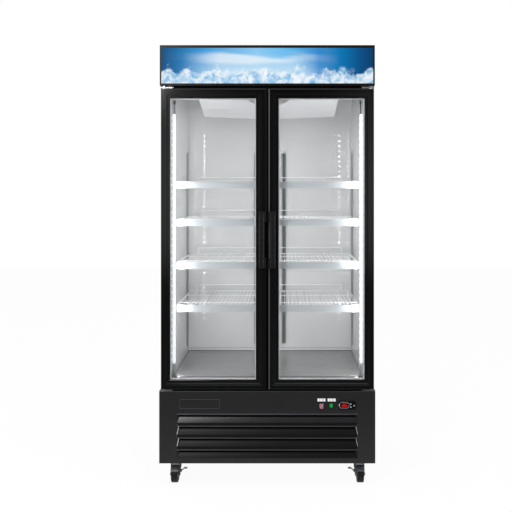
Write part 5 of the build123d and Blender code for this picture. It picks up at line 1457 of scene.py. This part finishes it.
    def ring(self, inset: np.ndarray, y: np.ndarray, left: float, right: float, low: float,
             high: float) -> Shape:
        """Mitred ring: corner k of the rectangle, drawn in by each inset, at each depth.

        Args:
            inset: Distance of each profile point from the outer edge.
            y: Depth of each profile point.
            left: Outer left edge.
            right: Outer right edge.
            low: Outer lower edge.
            high: Outer upper edge.

        Returns:
            The closed shape.
        """
        x = np.stack([left + inset, right - inset, right - inset, left + inset])
        z = np.stack([low + inset, low + inset, high - inset, high - inset])
        points = np.stack([x, np.broadcast_to(y, x.shape), z], -1)
        return skin(points, wrap_rows=True, wrap_columns=True)


@dataclass
class Casters:
    """Four swivel casters, the front pair with brake pedals."""

    tyre_round: float = 5 * MM
    hub_radius: float = 13 * MM
    rim_radius: float = 26 * MM
    bore: float = 4.1 * MM
    hood_gap: float = 3.2 * MM
    hood_sheet: float = 1.6 * MM
    hood_arc: tuple[float, float] = (36.0, 125.0)
    fork_half: tuple[float, float] = (18 * MM, 21 * MM)
    bracket_width: float = 9 * MM
    bracket_rise: float = 64 * MM
    bracket_half: float = 8 * MM
    places: tuple[str, ...] = ("front_left", "front_right", "rear_left", "rear_right")

    def build(self) -> None:
        """Builds wheels and hoods, and dresses plates, forks and pedals."""
        # Dark grey on the caster plates: painted shade under the cabinet
        dress(DARK_ZINC_AND_SHADE, "caster_plates", *[f"caster_fork_{place}" for place in self.places])
        dress(PEDAL, "brake_pedal_left", "brake_pedal_right")
        for place in self.places:
            low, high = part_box(f"caster_wheel_{place}")
            middle = tuple((low + high) / 2)
            radius, half = (high.z - low.z) / 2, (high.x - low.x) / 2
            parts = (("tyre", self.tyre(radius, half), TYRE), ("hub", self.hub(half), HUB))
            for word, shape, finish in parts:
                placed = shape.turned(turn_to(Vector((1, 0, 0)))).at(middle)
                make(f"caster_{word}_{place}", placed, finish, f"wheel_{place}",
                     (f"caster_wheel_{place}",))
            front = place.startswith("front")
            hood = self.hood(radius, -1 if front else 1).at(middle)
            make(f"caster_hood_{place}", hood, DARK_ZINC_AND_SHADE, f"fork_{place}")
            if front:
                # Black brake arm on the inner leg: partly painted shade of that leg
                inward = 1 if middle[0] < 0 else -1
                make(f"brake_bracket_{place}", self.bracket(inward).at(middle), ENAMEL,
                     f"fork_{place}")

    def hood(self, radius: float, outward: int) -> Shape:
        """Curved sheet between the fork's legs: an arc about the axle, over the wheel's outer side.

        Args:
            radius: Radius of the wheel.
            outward: -1 where the wheel trails to the front, 1 where it trails to the rear.

        Returns:
            The closed shape, about the axle.
        """
        angle = np.radians(np.linspace(*self.hood_arc, 17))
        ring = np.stack([outward * np.cos(angle), np.sin(angle)], -1)
        inner = radius + self.hood_gap
        section = np.vstack([ring * inner, ring[::-1] * (inner + self.hood_sheet)])
        return bar(section, Axis.X, -self.fork_half[0], self.fork_half[0])

    def bracket(self, inward: int) -> Shape:
        """Upright arm of the brake on the inner leg, wider at its top, about the axle; its black is partly
        painted shade of that leg.
        """
        low, high = self.fork_half[1], self.fork_half[1] + self.bracket_width
        side = np.array([(low, 16 * MM), (low + 4 * MM, 20 * MM), (high - 1 * MM, 34 * MM),
                         (high, self.bracket_rise - 6 * MM), (high - 2 * MM, self.bracket_rise),
                         (low, self.bracket_rise)]) * (inward, 1)
        return bar(side, Axis.Y, -self.bracket_half, self.bracket_half)

    def tyre(self, radius: float, half: float) -> Shape:
        """Tread with a quarter circle at each shoulder and a shallow groove on each side of its crown."""
        angle = np.linspace(0, np.pi / 2, 7)
        r = self.tyre_round
        shoulder = np.stack([radius - r + r * np.sin(angle), half - r + r * np.cos(angle)], -1)
        tread = np.array([(radius, half * 0.5), (radius - 0.7 * MM, half * 0.46),
                          (radius - 0.7 * MM, half * 0.4), (radius, half * 0.36)])
        upper = np.vstack([(self.rim_radius, half - 1.2 * MM), (self.rim_radius + 1.5 * MM, half),
                           shoulder, tread])
        lower = upper[::-1] * (1, -1)
        return revolved(np.vstack([upper, lower]), 64)

    def hub(self, half: float) -> Shape:
        """Centre with a raised boss and a sunk web on each side."""
        web = half - 4 * MM
        edge = 0.6 * MM
        upper = np.array([(self.bore, half), (self.hub_radius - edge, half), (self.hub_radius, half - edge),
                          (self.hub_radius + 0.6 * MM, web), (self.rim_radius - 1 * MM, web),
                          (self.rim_radius, web + 2.4 * MM)])
        return revolved(np.vstack([upper, upper[::-1] * (1, -1)]), 48)


@dataclass
class Studio:
    """Floor, world, lamps and camera."""

    floor_half: float = 9.0
    dark_front: float = 0.03
    pale_side: float = 0.72
    dim_beyond: float = 0.25
    pale_above: float = 0.8
    pale_behind: float = 0.8
    floor_share: float = 0.94
    floor_fade: tuple[float, float] = (-1.6, -0.3)
    floor_mirrored: tuple[float, float] = (0.04, 0.8)
    key_power: float = 60.0
    fill_power: float = 46.0
    camera_place: tuple[float, float, float] = (0.082, -3.531, 1.370)
    lens: float = 48.68
    shift: tuple[float, float] = (-0.0566, -0.1256)

    def build(self) -> None:
        """Builds everything that isn't part of the object."""
        self.build_world()
        self.build_floor()
        self.build_lamps()
        self.build_camera()

    def build_world(self) -> None:
        """White where the camera or glass looks, and else a pale room with a dark gap straight in
        front between two low soft boxes, which keeps black sheet black."""
        world = bpy.data.worlds.new("studio")
        bpy.context.scene.world = world
        tree = emptied(world)
        path = add(tree, "ShaderNodeLightPath")
        way = add(tree, "ShaderNodeTexCoord").outputs["Generated"]
        axes = add(tree, "ShaderNodeSeparateXYZ", {"Vector": way})
        across = reckon(tree, "ABSOLUTE", axes.outputs["X"])
        level = reckon(tree, "ABSOLUTE", axes.outputs["Z"])
        box = remap(tree, level, (0.17, 0.03), (self.dim_beyond, 1.0), smooth=True)
        wide = remap(tree, across, (0.2, 0.4), smooth=True)
        open_side = reckon(tree, "MULTIPLY", reckon(tree, "MAXIMUM", box, wide), self.pale_side)
        side = remap(tree, across, (0.05, 0.14), (self.dark_front, open_side), smooth=True)
        above = remap(tree, axes.outputs["Z"], (0.62, 0.9), (0.0, self.pale_above), smooth=True)
        behind = remap(tree, axes.outputs["Y"], (-0.5, -0.1), (0.0, self.pale_behind), smooth=True)
        plain = reckon(tree, "MAXIMUM", side, reckon(tree, "MAXIMUM", above, behind))
        seen = reckon(tree, "MAXIMUM", path.outputs["Is Camera Ray"], path.outputs["Is Transmission Ray"])
        strength = add(tree, "ShaderNodeMix", {0: seen, 2: plain, 3: 1.0})
        light = add(tree, "ShaderNodeBackground", {"Color": linear("#ffffff"),
                                                   "Strength": strength.outputs[0]})
        add(tree, "ShaderNodeOutputWorld", {"Surface": light.outputs[0]})

    def build_floor(self) -> None:
        """Pale floor that reads white to the camera, keeps a soft shadow, and darkens in front in
        what gloss mirrors."""
        half = self.floor_half
        mesh = bpy.data.meshes.new("floor")
        mesh.from_pydata([(-half, -half, 0), (half, -half, 0), (half, half, 0), (-half, half, 0)], [],
                         [(0, 1, 2, 3)])
        floor = bpy.data.objects.new("floor", mesh)
        bpy.context.scene.collection.objects.link(floor)
        material = bpy.data.materials.new("pale_floor")
        material.cycles.emission_sampling = "NONE"
        tree = emptied(material)
        path = add(tree, "ShaderNodeLightPath")
        place = add(tree, "ShaderNodeTexCoord").outputs["Object"]
        axes = add(tree, "ShaderNodeSeparateXYZ", {"Vector": place})
        front = remap(tree, axes.outputs["Y"], self.floor_fade, self.floor_mirrored)
        strength = add(tree, "ShaderNodeMix", {0: path.outputs["Is Glossy Ray"], 2: 1.0, 3: front})
        share = reckon(tree, "MAXIMUM", path.outputs["Is Camera Ray"], path.outputs["Is Glossy Ray"])
        seen = reckon(tree, "MULTIPLY", share, self.floor_share)
        paint = add(tree, "ShaderNodeBsdfDiffuse", {"Color": linear("#f9f9f9")})
        white = add(tree, "ShaderNodeEmission", {"Color": linear("#ffffff"),
                                                 "Strength": strength.outputs[0]})
        mixed = add(tree, "ShaderNodeMixShader", {0: seen, 1: paint.outputs[0], 2: white.outputs[0]})
        add(tree, "ShaderNodeOutputMaterial", {"Surface": mixed.outputs[0]})
        mesh.materials.append(material)

    def build_lamps(self) -> None:
        """Soft key from the front left and soft fill from above."""
        lamp("key", (-1.55, -3.0, 2.9), (-0.1, -0.3, 0.8), (1.4, 1.8), self.key_power)
        lamp("fill", (0.4, -1.6, 4.2), (0.0, 0.0, 1.0), (3.0, 2.4), self.fill_power)

    def build_camera(self) -> None:
        """Camera at the photograph's station: level, square to the doors, framed by its shift."""
        data = bpy.data.cameras.new("camera")
        data.lens = self.lens
        data.shift_x, data.shift_y = self.shift
        camera = bpy.data.objects.new("camera", data)
        camera.location = self.camera_place
        camera.rotation_euler = (math.pi / 2, 0, 0)
        bpy.context.scene.collection.objects.link(camera)
        bpy.context.scene.camera = camera


def main() -> None:
    """Builds the studio and each sub-assembly in order."""
    logging.basicConfig(level=logging.INFO, format="%(message)s")
    bpy.context.scene.view_settings.view_transform = "Standard"
    bpy.context.scene.cycles.transparent_max_bounces = 24
    assemblies = (Studio(), Cabinet(), Shelving(), LightStrips(), Cooling(), Canopy(), Controls(),
                  Door(Side.LEFT), Door(Side.RIGHT), Casters())
    for assembly in assemblies:
        log.info("Building %s", type(assembly).__name__)
        assembly.build()


if __name__ == "__main__":
    main()
